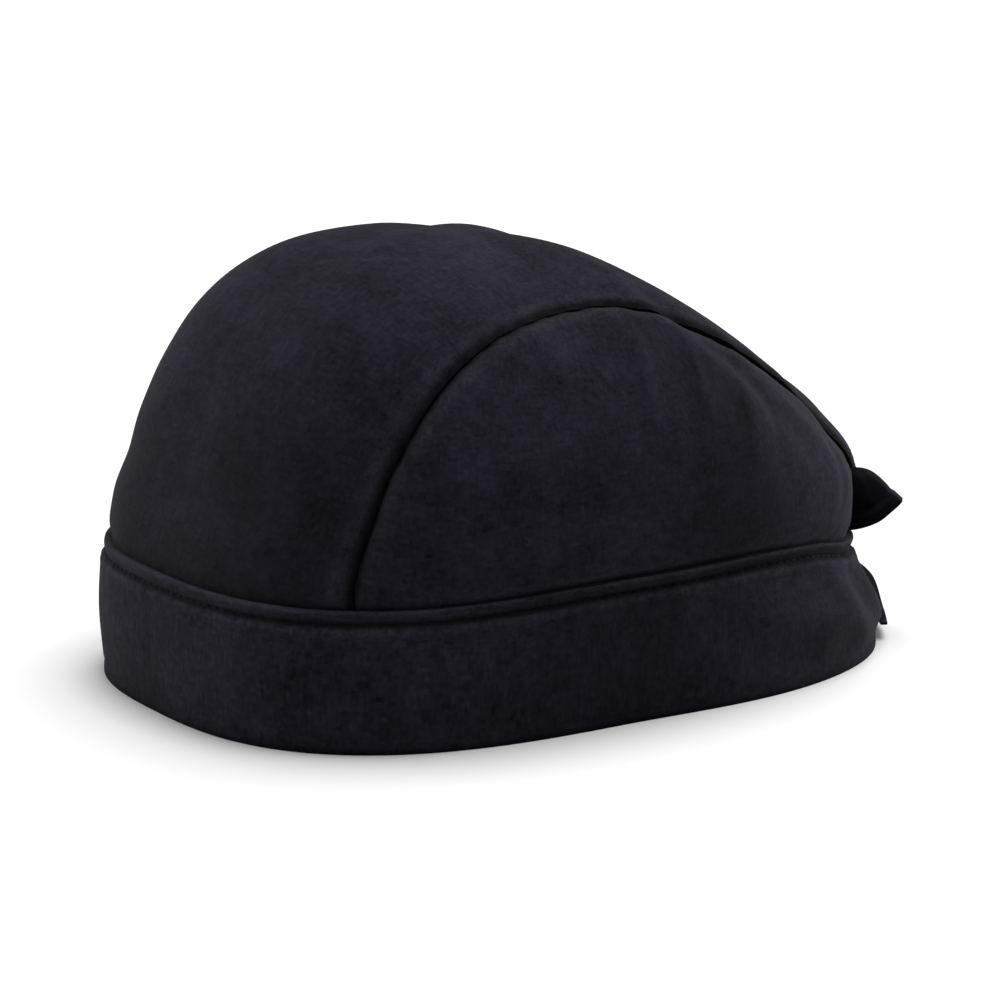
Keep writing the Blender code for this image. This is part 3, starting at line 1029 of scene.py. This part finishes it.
@dataclass
class SidePanel(ClothPiece):
    """One side panel, between the band and a curved seam; side is 1 for the left, -1 for the right."""

    swells: tuple[Swell, ...] = (Swell(0.038, 0.45, 3.1), Swell(0.012, 0.15, 7.7))
    side: int = 1
    cad_rows: int = 9
    closeness: float = 1.25
    panel_length: float = 0.19
    refill: float = 0.65
    fold_share: float = 0.35
    press: float = -1.3
    creases: tuple[Crease, ...] = ()
    seam_roll: Streak = Streak(0.0, 1.3, -1.1)
    seam_crest: Streak = Streak(4.5, 2.6, 0.35)
    rear_roll: Streak = Streak(0.0, 2.5, -0.35)
    rear_press: Streak = Streak(9.0, 8.0, -1.1)
    pucker: Pucker = Pucker(0.22, 1.35, 4.5)
    hem: tuple[Streak, ...] = (Streak(1.6, 1.4, 0.35), Streak(4.2, 0.8, -0.35))
    # Painted light on the side panels: wear and painted highlight on the crest and the hem.
    crest_wear_and_highlight: Streak = Streak(3.4, 2.2, 0.45)
    hem_wear_and_highlight: Streak = Streak(1.2, 1.4, 0.5)

    def cut(self, u: Numbers, v: Numbers) -> Numbers:
        """Places on the flat cloth, which don't crowd where the panel narrows to its front corner."""
        azimuth, elevation, _, _ = self.aimed(u, v)
        return np.stack([azimuth * 0.085 * self.side, elevation * 0.09], axis=-1)

    def along(self, u: Numbers) -> Numbers:
        """Share of the way from the front corner to the back edge."""
        return u if self.side > 0 else 1 - u

    def spread(self, v: Numbers) -> Numbers:
        """Share up the panel, with closer rows by the seam."""
        return 1 - (1 - v) ** self.closeness

    def share(self, v: Numbers) -> Numbers:
        """Share of the way from the band up to the seam."""
        return np.maximum((self.spread(v) * self.cad_rows - 1) / (self.cad_rows - 1), 0.0)

    def to_back(self, u: Numbers) -> Numbers:
        """Distance from the panel's back edge, along it."""
        return (1 - self.along(u)) * self.panel_length

    def aims(self, u: Numbers) -> tuple[Numbers, Numbers, Numbers]:
        """Directions of a column's lower and upper end.

        Args:
            u: Shares across the piece.

        Returns:
            The lower direction, the upper direction and the angle over the crown.
        """
        along = self.along(u)
        over = math.radians(FORM.flap_root) * along
        azimuth, elevation = FORM.crown_angles(over, FORM.half_width(over) + FORM.gap / 2)
        zero = np.zeros(1)
        first = FORM.crown_angles(zero, FORM.half_width(zero) + FORM.gap / 2)[0]
        root = np.array([math.radians(FORM.flap_root)])
        last = FORM.crown_angles(zero + math.pi, FORM.half_width(root) + FORM.back_spread)[0]
        low = ground(first + (last - first) * along, 1.0, 0.0)
        high = ground(azimuth, np.cos(elevation), np.sin(elevation))
        return low, high, over

    def aimed(self, u: Numbers, v: Numbers) -> tuple[Numbers, Numbers, Numbers, Numbers]:
        """Where the grid meets the crown.

        Args:
            u: Shares across the piece.
            v: Shares up the piece.

        Returns:
            The azimuth, the elevation, the distance to the seam and the angle over the crown.
        """
        low, high, over = self.aims(u)
        angle = np.arccos(np.clip(np.sum(low * high, axis=1), -1, 1))
        share = self.share(v)
        safe = np.maximum(np.sin(angle), 1e-9)
        near, far = np.sin((1 - share) * angle) / safe, np.sin(share * angle) / safe
        flat = angle < 1e-5
        near, far = np.where(flat, 1 - share, near), np.where(flat, share, far)
        aim = low * near[:, None] + high * far[:, None]
        azimuth = np.arctan2(aim[:, 0], -aim[:, 1])
        elevation = np.arcsin(np.clip(aim[:, 2], 0, 1))
        to_seam = (1 - share) * angle * FORM.crown_radius(azimuth, elevation)
        return azimuth, elevation, to_seam, over

    def place(self, u: Numbers, v: Numbers) -> Numbers:
        """Main shape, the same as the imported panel's.

        Args:
            u: Shares across the panel.
            v: Shares up the panel.

        Returns:
            The points, in the cap's own frame.
        """
        azimuth, elevation, to_seam, over = self.aimed(u, v)
        share, along = self.share(v), self.along(u)
        _, high, _ = self.aims(u)
        seam_elevation = np.arcsin(np.clip(high[:, 2], 0, 1))
        puff = FORM.side_puff * np.sin(math.pi * share) ** 2 * np.sin(math.pi * along)
        dip = FORM.seam_valley(to_seam, over) * ease(seam_elevation / math.radians(6))
        points = FORM.crown_point(azimuth, elevation, puff - dip)
        points[:, 2] -= FORM.tuck * np.clip(1 - self.spread(v) * self.cad_rows, 0, 1)
        points[:, 0] *= self.side
        return points

    def relief(self, u: Numbers, v: Numbers, points: Numbers) -> Numbers:
        """Seam rolls, puckers, creases and a soft unevenness.

        Args:
            u: Shares across the panel.
            v: Shares up the panel.
            points: Points of the main shape.

        Returns:
            The height over the main shape.
        """
        azimuth, elevation, to_seam, over = self.aimed(u, v)
        degrees = np.degrees(over)
        on_crown = ease(degrees / 14)
        behind = ease((degrees - 104) / 16)
        sway = 2 * ripple(points, 0.03, self.seed)
        seam = self.seam_roll.over(to_seam) + self.seam_crest.over(to_seam) * (1 - behind * 3 / 7)
        seam += self.rear_roll.over(to_seam) * behind
        seam += self.pucker.over(points[:, 1] + points[:, 2] * 0.6, to_seam, sway)
        pressed = self.press * np.sin(math.pi * self.share(v)) ** 2 * ease((degrees - 122) / 22)
        pressed += self.rear_press.over(to_seam) * ease((degrees - 112) / 24)
        inside = ease(self.share(v) * 6) * on_crown
        hem = sum(streak.over(self.to_back(u)) for streak in self.hem)
        total = MM * (seam * on_crown + pressed + inside * self.uneven(points) + hem)
        total += inside * sum(crease.raises(points, self.side) for crease in self.creases)
        total += self.refill * FORM.seam_valley(to_seam, over) * on_crown
        return total + self.lap(points) - self.fold_share * FORM.fold_height(azimuth, elevation)

    def wear_and_painted_light(self, u: Numbers, v: Numbers, points: Numbers) -> Numbers:
        """Wear and painted highlight on the crest under the seam and on the hem, painted highlight low at the
        back, and painted shade further forward and in the seam.

        Args:
            u: Shares across the panel.
            v: Shares up the panel.
            points: Points of the finished face.

        Returns:
            The wear and painted light, from -1 to 1.
        """
        _, _, to_seam, over = self.aimed(u, v)
        degrees = np.degrees(over)
        crest = self.crest_wear_and_highlight.over(to_seam) * ease(degrees / 20)
        reach = (1.0 + 0.9 * ease((degrees - 104) / 20)) * MM
        # Painted highlight low at the back and painted shade further forward, where the panel turns to and
        # from the light.
        painted_light_zones = 0.3 * bump((self.along(u) - 0.93) / 0.12) - 0.18 * bump((self.along(u) - 0.68) / 0.12)
        # Painted shade in the seam.
        return crest + self.hem_wear_and_highlight.over(self.to_back(u)) + painted_light_zones - bump(to_seam / reach)


@dataclass
class SeamTape(ClothPiece):
    """The folded seam allowance under one curved seam; side is 1 for the left, -1 for the right."""

    swells: tuple[Swell, ...] = (Swell(0.01, 0.05, 0.0),)
    side: int = 1
    reach: float = 0.0045
    clearance: float = 0.45
    seam_roll: Streak = Streak(0.0, 1.6, 0.95)

    def place(self, u: Numbers, v: Numbers) -> Numbers:
        """A strip along the seam, just under both panels.

        Args:
            u: Shares across the strip.
            v: Shares along the strip.

        Returns:
            The points, in the cap's own frame.
        """
        sideways = (2 * u - 1) * self.reach * self.side
        over = math.radians(FORM.flap_root - 2) * (0.012 + 0.988 * v)
        azimuth, elevation = FORM.crown_angles(over, FORM.half_width(over) + sideways)
        dip = FORM.seam_valley(np.abs(sideways), over) * ease(elevation / math.radians(6))
        depth = FORM.cloth + MM * (self.seam_roll.over(sideways) + self.clearance)
        points = FORM.crown_point(azimuth, elevation, -dip - depth)
        points[:, 0] *= self.side
        return points

    def relief(self, u: Numbers, v: Numbers, points: Numbers) -> Numbers:
        """A slight unevenness."""
        return MM * self.uneven(points)


@dataclass
class Headband(ClothPiece):
    """The folded band, from one end at the back round the front to the other end."""

    swells: tuple[Swell, ...] = (Swell(0.05, 0.55, 0.0, (1, 1, 0.5)), Swell(0.014, 0.16, 5.2))
    heights: Table = Table((0.0, 0.07, 0.58, 1.0), (0.0, 0.04, 0.74, 1.0))
    girth: float = 0.09
    groove: Streak = Streak(0.0, 0.6, -0.55)
    crest: Streak = Streak(1.7, 1.1, 0.36)
    lip_edge: tuple[Streak, ...] = (Streak(0.8, 0.5, 0.08), Streak(0.0, 0.45, -0.10))
    pucker: Pucker = Pucker(0.10, 1.15, 2.6)
    hem: Streak = Streak(3.0, 0.8, -0.35)
    drape: tuple[Streak, ...] = (Streak(0.0, 6.5, 1.5), Streak(-11.0, 6.0, -1.0))
    ruck: float = 0.55
    lean: float = -0.55
    snug: float = -1.2
    # Painted light on the band: painted highlight on the top edge, wear and painted highlight on the crest,
    # painted shade in the groove, at the foot and on the lip at the back.
    top_edge_painted_highlight: Streak = Streak(0.3, 0.6, 0.9)
    crest_wear_and_highlight: Streak = Streak(1.7, 1.0, 0.55)
    groove_painted_shade: Streak = Streak(0.0, 0.8, -1.0)
    foot_painted_shade: Streak = Streak(0.0, 1.3, -1.0)
    lip_painted_shade: Streak = Streak(2.1, 1.1, -0.7)

    def azimuth(self, u: Numbers) -> Numbers:
        """Azimuth along the band."""
        end = math.pi - math.asin(FORM.end_gap / 2 / float(FORM.band_radius(np.array(math.pi))))
        return end * (2 * u - 1)

    def height(self, u: Numbers, v: Numbers) -> Numbers:
        """Height over the rest plane."""
        return self.heights.at(v) * FORM.band_top(self.azimuth(u))

    def place(self, u: Numbers, v: Numbers) -> Numbers:
        """Main shape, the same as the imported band's."""
        return FORM.band_point(self.azimuth(u), self.height(u, v))

    def edging(self, azimuth: Numbers, under_top: Numbers) -> Numbers:
        """The lip along the top, its stitched groove and the crest under it.

        Args:
            azimuth: Azimuths along the band, in radians.
            under_top: Distances down from the top edge.

        Returns:
            The height over the main shape, in mm.
        """
        run, across, below = azimuth * self.girth, off_front(azimuth), under_top - FORM.lip
        ahead = bump((across - 38) / 36)
        pull = (1 + 0.25 * np.sin(run / (1.9 * MM))) * (1 - ahead * 4 / 11)
        total = self.groove.over(below) * pull + self.crest.over(below)
        total += sum(streak.over(under_top) for streak in self.lip_edge)
        total += self.pucker.over(run, np.abs(below - 1.5 * MM))
        tilted = ease(under_top / FORM.lip) * (1 - ease(below / (1.6 * MM)))
        total += self.lean * ease((across - 96) / 30) * tilted
        return total + self.snug * (ahead * ease(1 - under_top / (7 * MM)) + bump((across - 142) / 17))

    def relief(self, u: Numbers, v: Numbers, points: Numbers) -> Numbers:
        """The stitched lip, long soft waves, the folds by the ends and fine unevenness.

        Args:
            u: Shares along the band.
            v: Shares up the band.
            points: Points of the main shape.

        Returns:
            The height over the main shape.
        """
        azimuth, height = self.azimuth(u), self.height(u, v)
        across, under_top = off_front(azimuth), FORM.band_top(azimuth) - height
        free = ease((height - 2 * MM) / (6 * MM)) * ease((under_top - 4.5 * MM) / (5 * MM))
        rucks = self.ruck * ease((across - 120) / 30) * np.sin(across / 1.9 + height / (9 * MM))
        off_fold = height - (26 - (across - 112) * 0.42) * MM
        folds = sum(streak.over(off_fold) for streak in self.drape) * ease((across - 104) / 22)
        soft = free * (self.uneven(points) + rucks + folds)
        return MM * (self.edging(azimuth, under_top) + self.hem.over(height) + soft)

    def wear_and_painted_light(self, u: Numbers, v: Numbers, points: Numbers) -> Numbers:
        """Painted highlight on the top edge, wear and painted highlight on the crest under the stitches,
        painted shade in the groove, at the foot and on the lip at the back, and painted light in broad zones
        round the band.

        Args:
            u: Shares along the band.
            v: Shares up the band.
            points: Points of the finished face.

        Returns:
            The wear and painted light, from -1 to 1.
        """
        height, across = self.height(u, v), off_front(self.azimuth(u))
        under_top = FORM.band_top(self.azimuth(u)) - height
        below = under_top - FORM.lip
        total = self.top_edge_painted_highlight.over(under_top) + self.crest_wear_and_highlight.over(below) + self.groove_painted_shade.over(below)
        total += self.foot_painted_shade.over(height) + self.lip_painted_shade.over(under_top) * ease((across - 96) / 30)
        # Painted highlight and painted shade in broad zones round the band, where it turns to and from the
        # light.
        total += 0.28 * bump((across - 22) / 22) + 0.16 * bump((across - 57) / 13)
        return total - 0.22 * bump((across - 92) / 18)


@dataclass
class TieStrap(ClothPiece):
    """A tie strap on the band's outer face; side is 1 for the left, -1 for the right."""

    swells: tuple[Swell, ...] = (Swell(0.006, 0.12, 0.0),)
    side: int = 1
    strap_width: float = 0.013
    strap_length: float = 0.018
    middle: float = 0.0135
    knot_width: float = 0.019
    under_knot: float = 0.0022
    stitches: Streak = Streak(1.8, 0.5, -0.22)
    pleat: float = 0.5

    def along(self, u: Numbers) -> Numbers:
        """Share of the way from the sewn end to the knot."""
        return u if self.side > 0 else 1 - u

    def place(self, u: Numbers, v: Numbers) -> Numbers:
        """Main shape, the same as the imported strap's.

        Args:
            u: Shares along the strap.
            v: Shares up the strap.

        Returns:
            The points, in the cap's own frame.
        """
        along = self.along(u)
        inner = self.knot_width / 2 + FORM.gap - self.under_knot
        outer = self.knot_width / 2 + FORM.gap + self.strap_length
        azimuth = FORM.strap_azimuth(outer + (inner - outer) * along)
        pinch = 1 - 0.35 * ease((along - 0.45) / 0.55)
        height = self.middle + (v - 0.5) * self.strap_width * pinch
        off = FORM.gap + self.thickness + FORM.band_thickness * 0.12
        points = FORM.band_point(azimuth, height, off)
        points[:, 0] *= self.side
        return points

    def relief(self, u: Numbers, v: Numbers, points: Numbers) -> Numbers:
        """Stitched edges and pleats towards the knot.

        Args:
            u: Shares along the strap.
            v: Shares up the strap.
            points: Points of the main shape.

        Returns:
            The height over the main shape.
        """
        edge = np.minimum(v, 1 - v) * self.strap_width
        pleats = self.pleat * np.sin(v * 4 * math.pi + 0.6) * ease((self.along(u) - 0.3) / 0.7)
        return MM * (self.stitches.over(edge) + pleats + self.uneven(points))


@dataclass
class TieEnd(ClothPiece):
    """A free end of the tie, tapered to a tip; side is 1 for the left, -1 for the right."""

    swells: tuple[Swell, ...] = (Swell(0.007, 0.12, 0.0),)
    side: int = 1
    end_width: float = 0.011
    end_length: float = 0.037
    taper: float = 0.020
    strap_length: float = 0.018
    middle: float = 0.0135
    tip: float = 0.0045
    knot_width: float = 0.019
    under_knot: float = 0.0022
    stitches: Streak = Streak(1.7, 0.5, -0.2)
    pleat: float = 0.45

    def along(self, u: Numbers) -> Numbers:
        """Share of the way from the knot to the tip."""
        return u if self.side < 0 else 1 - u

    def place(self, u: Numbers, v: Numbers) -> Numbers:
        """Main shape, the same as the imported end's.

        Args:
            u: Shares along the end.
            v: Shares up the end.

        Returns:
            The points, in the cap's own frame.
        """
        along = self.along(u)
        start = self.knot_width / 2 + FORM.gap
        reach = along * (self.end_length + self.under_knot) - self.under_knot
        azimuth = FORM.strap_azimuth(start + reach)
        middle = self.middle + (self.tip - self.middle) * ease(along)
        narrow = np.minimum((1 - along) * self.end_length / self.taper, 1.0)
        height = middle + (v - 0.5) * self.end_width * (0.06 + 0.94 * narrow)
        layers = 2 - ease((self.end_length * along - self.strap_length) / self.taper)
        points = FORM.band_point(azimuth, height, (layers + 0.3) * (self.thickness + FORM.gap))
        points[:, 0] *= self.side
        return points

    def relief(self, u: Numbers, v: Numbers, points: Numbers) -> Numbers:
        """Stitched edges, a pleat from the knot and slight curls.

        Args:
            u: Shares along the end.
            v: Shares up the end.
            points: Points of the main shape.

        Returns:
            The height over the main shape.
        """
        along = self.along(u)
        edge = np.minimum(v, 1 - v) * self.end_width
        seam = self.stitches.over(edge) * ease((1 - along) * 4)
        pleat = self.pleat * bump((v - 0.5) / 0.16) * ease(1 - along * 1.6)
        return MM * (seam + pleat + self.uneven(points))


@dataclass
class TieKnot:
    """The knot: a soft ball with the wrapped strap's folds."""

    name: str = "knot_wrapped"
    width: float = 0.019
    depth: float = 0.012
    height: float = 0.0155
    fullness: float = 0.8
    middle: float = 0.0135
    strap: float = 0.0018
    folds: float = 11.0
    fold_height: float = 0.04
    groove_at: float = 0.52
    groove_width: float = 0.10
    groove_depth: float = 0.13

    def build(self, material: bpy.types.Material) -> bpy.types.Object:
        """Builds the knot.

        Args:
            material: The finish.

        Returns:
            The knot, settled in the frame.
        """
        ball = bmesh.new()
        layer = ball.loops.layers.uv.new("cloth")
        mark = ball.verts.layers.float.new("wear_and_painted_light")
        bmesh.ops.create_uvsphere(ball, u_segments=96, v_segments=64, radius=1.0)
        face = FORM.band_point(np.array([math.pi]), np.array([self.middle]))[0]
        centre = Vector((0.0, face[1] + self.strap + SHIFT, self.middle))
        half = Vector((self.width, self.depth, self.height)) / 2
        for vertex in ball.verts:
            way = vertex.co.normalized()
            full = [math.copysign(abs(c) ** self.fullness, c) for c in way]
            lie = 0.9 * way.x + 0.4 * way.z
            fold = math.cos(self.folds * lie)
            groove = math.exp(-(((abs(lie) - self.groove_at) / self.groove_width) ** 2))
            scale = 1 + (self.fold_height * fold - self.groove_depth * groove) * max(way.y, 0.0)
            vertex.co = centre + Vector([c * h * scale for c, h in zip(full, half)])
            # Painted light on the knot: painted highlight on the folds' ridges and painted shade in their
            # hollows.
            vertex[mark] = 0.4 * fold
        for face in ball.faces:
            face.smooth = True
            for loop in face.loops:
                spot = loop.vert.co
                loop[layer].uv = (spot.x + 0.4 * spot.z, spot.z - 0.4 * spot.x)
        piece = scene_object(self.name, ball)
        settle(piece, ("tie_knot",), "band_cloth", material)
        return piece


@dataclass
class StitchRow:
    """A row of stitches that lies on a cloth piece along a path of shares."""

    name: str
    slot: str
    cloth: ClothPiece
    path: Callable[[Numbers], tuple[Numbers, Numbers]]
    pitch: float = 0.0031
    stitch: float = 0.0023
    radius: float = 0.00021
    sink: float = 0.65

    def build(self, material: bpy.types.Material) -> bpy.types.Object:
        """Builds the stitches as one piece.

        Args:
            material: The thread's finish.

        Returns:
            The row, settled in the frame.
        """
        points, normals = self.cloth.surface(*self.path(np.linspace(0, 1, 2400)))
        points[:, 1] += SHIFT
        run = np.concatenate([[0], np.cumsum(np.linalg.norm(np.diff(points, axis=0), axis=1))])
        count = int(run[-1] / self.pitch)
        thread = bmesh.new()
        for index in range(count):
            at = (index + 0.5) * run[-1] / count
            k = int(np.clip(np.searchsorted(run, at), 1, len(run) - 2))
            along = Vector(points[k + 1] - points[k - 1]).normalized()
            out = Vector(normals[k]).normalized()
            side = out.cross(along).normalized()
            turn = Matrix((along, side, out)).transposed().to_4x4()
            size = Matrix.Diagonal((self.stitch / 2, self.radius, self.radius, 1.0))
            spot = Matrix.Translation(Vector(points[k]) + out * self.radius * (1 - self.sink))
            place = spot @ turn @ size
            bmesh.ops.create_uvsphere(thread, u_segments=8, v_segments=6, radius=1.0, matrix=place)
        for face in thread.faces:
            face.smooth = True
        piece = scene_object(self.name, thread)
        settle(piece, (), self.slot, material)
        return piece


@dataclass
class Crown:
    """The crown: centre panel, side panels and the seam allowances inside."""

    finish: ClothFinish = ClothFinish("crown_cotton")
    thread: ThreadFinish = ThreadFinish("crown_thread")
    side_creases: tuple[Crease, ...] = (
        Crease((106, 47), (99, 27), 2.3, 0.80),
        Crease((96, 44), (92, 30), 4.5, -0.4),
        Crease((112, 43), (107, 20), 3.2, -0.5),
        Crease((119, 43), (112, 24), 2.2, 0.50),
        Crease((129, 39), (118, 12), 3.0, 0.55),
        Crease((134, 33), (125, 12), 3.0, -0.5),
        Crease((146, 17), (142, 4), 2.4, -0.5),
        Crease((60, 30), (74, 12), 5.5, 0.35),
    )
    panel: CentrePanel = field(
        default_factory=lambda: CentrePanel(
            "panel_centre_cloth", ("centre_panel",), "crown_cloth", 120, 250, FORM.cloth
        )
    )

    def build(self) -> None:
        """Builds the crown's pieces."""
        cotton = self.finish.material()
        self.panel.build(cotton)
        few = self.side_creases[1::2] + self.side_creases[-1:]
        for word, side, creases in (("left", 1, self.side_creases), ("right", -1, few)):
            SidePanel(
                f"panel_{word}_cloth", (f"side_panel_{word}",), "crown_cloth", 190, 84, FORM.cloth,
                seed=21.0 * side, side=side, creases=creases,
            ).build(cotton)
        for word, side in (("left", 1), ("right", -1)):
            SeamTape(
                f"seam_allowance_{word}", (), "crown_cloth", 10, 150, 0.0005,
                rim=0.0001, width=0.009, length=0.28, seed=5.0 * side, side=side,
            ).build(cotton)
        StitchRow("flap_hem_stitches", "crown_cloth", self.panel, self.hem_path, pitch=0.0029).build(
            self.thread.material()
        )

    def hem_path(self, t: Numbers) -> tuple[Numbers, Numbers]:
        """Line of the flap's hem stitches, in shares of the centre panel."""
        return 0.03 + 0.94 * t, np.full_like(t, self.panel.along_flap(1 - self.panel.hem_stitches))


@dataclass
class Band:
    """The headband with its topstitching."""

    finish: ClothFinish = ClothFinish("band_cotton", slub=0.68)
    thread: ThreadFinish = ThreadFinish("band_thread")
    cloth: Headband = field(
        default_factory=lambda: Headband(
            "headband_cloth", ("headband",), "band_cloth", 440, 46, FORM.band_thickness,
            rim=0.0005, width=0.58, length=0.038, seed=40.0,
        )
    )

    def stitch_path(self, t: Numbers) -> tuple[Numbers, Numbers]:
        """Line of the topstitching.

        Args:
            t: Shares along the line.

        Returns:
            The shares along the band and up the band.
        """
        u = 0.004 + 0.992 * t
        wanted = 1 - FORM.lip / FORM.band_top(self.cloth.azimuth(u))
        v = np.linspace(0, 1, 600)
        return u, np.interp(wanted, self.cloth.heights.at(v), v)

    def build(self) -> None:
        """Builds the band and its stitches."""
        self.cloth.build(self.finish.material())
        row = StitchRow("band_topstitching", "band_cloth", self.cloth, self.stitch_path)
        row.build(self.thread.material())


@dataclass
class Tie:
    """The tie at the back: straps, knot and free ends."""

    finish: ClothFinish = ClothFinish("tie_cotton", slub=0.6)
    thickness: float = 0.0018
    rim: float = 0.0003

    def build(self) -> None:
        """Builds the tie's pieces."""
        cotton = self.finish.material()
        for word, side in (("left", 1), ("right", -1)):
            TieStrap(
                f"strap_{word}_cloth", (f"tie_strap_{word}",), "band_cloth", 48, 30, self.thickness,
                rim=self.rim, width=0.02, length=0.013, seed=60.0 + side, side=side,
            ).build(cotton)
            TieEnd(
                f"tie_{word}_cloth", (f"tie_end_{word}",), "band_cloth", 72, 24, self.thickness,
                rim=self.rim, width=0.039, length=0.011, seed=70.0 + side, side=side,
            ).build(cotton)
        TieKnot(strap=self.thickness).build(cotton)


class LampKind(Enum):
    """Kinds of lamp in the studio."""

    SUN = "SUN"
    SOFTBOX = "AREA"


@dataclass(frozen=True)
class Lamp:
    """A lamp that faces the cap: angles in degrees, size a sun's softness in radians or a softbox's side."""

    name: str
    kind: LampKind
    azimuth: float
    elevation: float
    energy: float
    size: float
    distance: float = 1.9

    def build(self) -> None:
        """Adds the lamp to the scene."""
        data = bpy.data.lights.new(self.name, self.kind.value)
        data.energy = self.energy
        if self.kind is LampKind.SUN:
            data.angle = self.size
        else:
            data.shape = "SQUARE"
            data.size = self.size
        lamp = bpy.data.objects.new(self.name, data)
        away = facing(self.azimuth, self.elevation)
        lamp.location = Vector((0, 0, 0.06)) + away * self.distance
        lamp.rotation_euler = away.to_track_quat("Z", "Y").to_euler()
        bpy.context.scene.collection.objects.link(lamp)


@dataclass
class Studio:
    """Floor, light and camera."""

    azimuth: float = 57.0
    elevation: float = 13.0
    roll: float = -0.265
    distance: float = 0.950
    aim_height: float = 0.055
    slide: Point = (0.01163, -0.01066)
    lens: float = 126.9
    sky: float = 0.30
    paper: float = 0.60
    lamps: tuple[Lamp, ...] = (
        Lamp("overhead", LampKind.SUN, 200, 76, 4.75, math.radians(50)),
        Lamp("left_softbox", LampKind.SOFTBOX, -54, 3, 17, 0.8),
        Lamp("back_softbox", LampKind.SOFTBOX, 178, 12, 15, 0.9),
        Lamp("low_fill", LampKind.SOFTBOX, 38, 2, 6, 0.8, 2.2),
    )

    def camera(self) -> None:
        """Places the camera at the photograph's view."""
        back = facing(self.azimuth, self.elevation)
        az, roll = math.radians(self.azimuth), math.radians(self.roll)
        level = Vector((math.cos(az), math.sin(az), 0.0))
        upright = back.cross(level)
        right = level * math.cos(roll) + upright * math.sin(roll)
        up = upright * math.cos(roll) - level * math.sin(roll)
        data = bpy.data.cameras.new("view")
        data.lens = self.lens
        data.sensor_width = 36.0
        data.clip_start = 0.05
        data.clip_end = 50.0
        camera = bpy.data.objects.new("view", data)
        aim = Vector((0.0, SHIFT, self.aim_height))
        spot = aim + back * self.distance + right * self.slide[0] + up * self.slide[1]
        camera.matrix_world = Matrix.Translation(spot) @ Matrix((right, up, back)).transposed().to_4x4()
        bpy.context.scene.collection.objects.link(camera)
        bpy.context.scene.camera = camera

    def floor(self) -> None:
        """Lays the pale floor."""
        plate = bmesh.new()
        bmesh.ops.create_grid(plate, x_segments=1, y_segments=1, size=6.0)
        floor = scene_object("floor", plate)
        bench = ShaderBench("floor_paper")
        bench.shader.inputs["Base Color"].default_value = (self.paper, self.paper, self.paper, 1.0)
        bench.shader.inputs["Roughness"].default_value = 0.9
        bench.shader.inputs["Specular IOR Level"].default_value = 0.1
        floor.data.materials.append(bench.material)

    def build(self) -> None:
        """Builds the studio."""
        world = bpy.data.worlds.new("studio")
        world.use_nodes = True
        world.node_tree.nodes["Background"].inputs["Color"].default_value = (1.0, 1.0, 1.0, 1.0)
        world.node_tree.nodes["Background"].inputs["Strength"].default_value = self.sky
        bpy.context.scene.world = world
        bpy.context.scene.view_settings.view_transform = "Standard"
        self.floor()
        self.camera()
        for lamp in self.lamps:
            lamp.build()


def main() -> None:
    """Builds every part of the scene in order."""
    logging.basicConfig(level=logging.INFO, format="%(name)s: %(message)s")
    LOG.info("shift along Y: %.4f", SHIFT)
    Studio().build()
    Band().build()
    Crown().build()
    Tie().build()


if __name__ == "__main__":
    main()
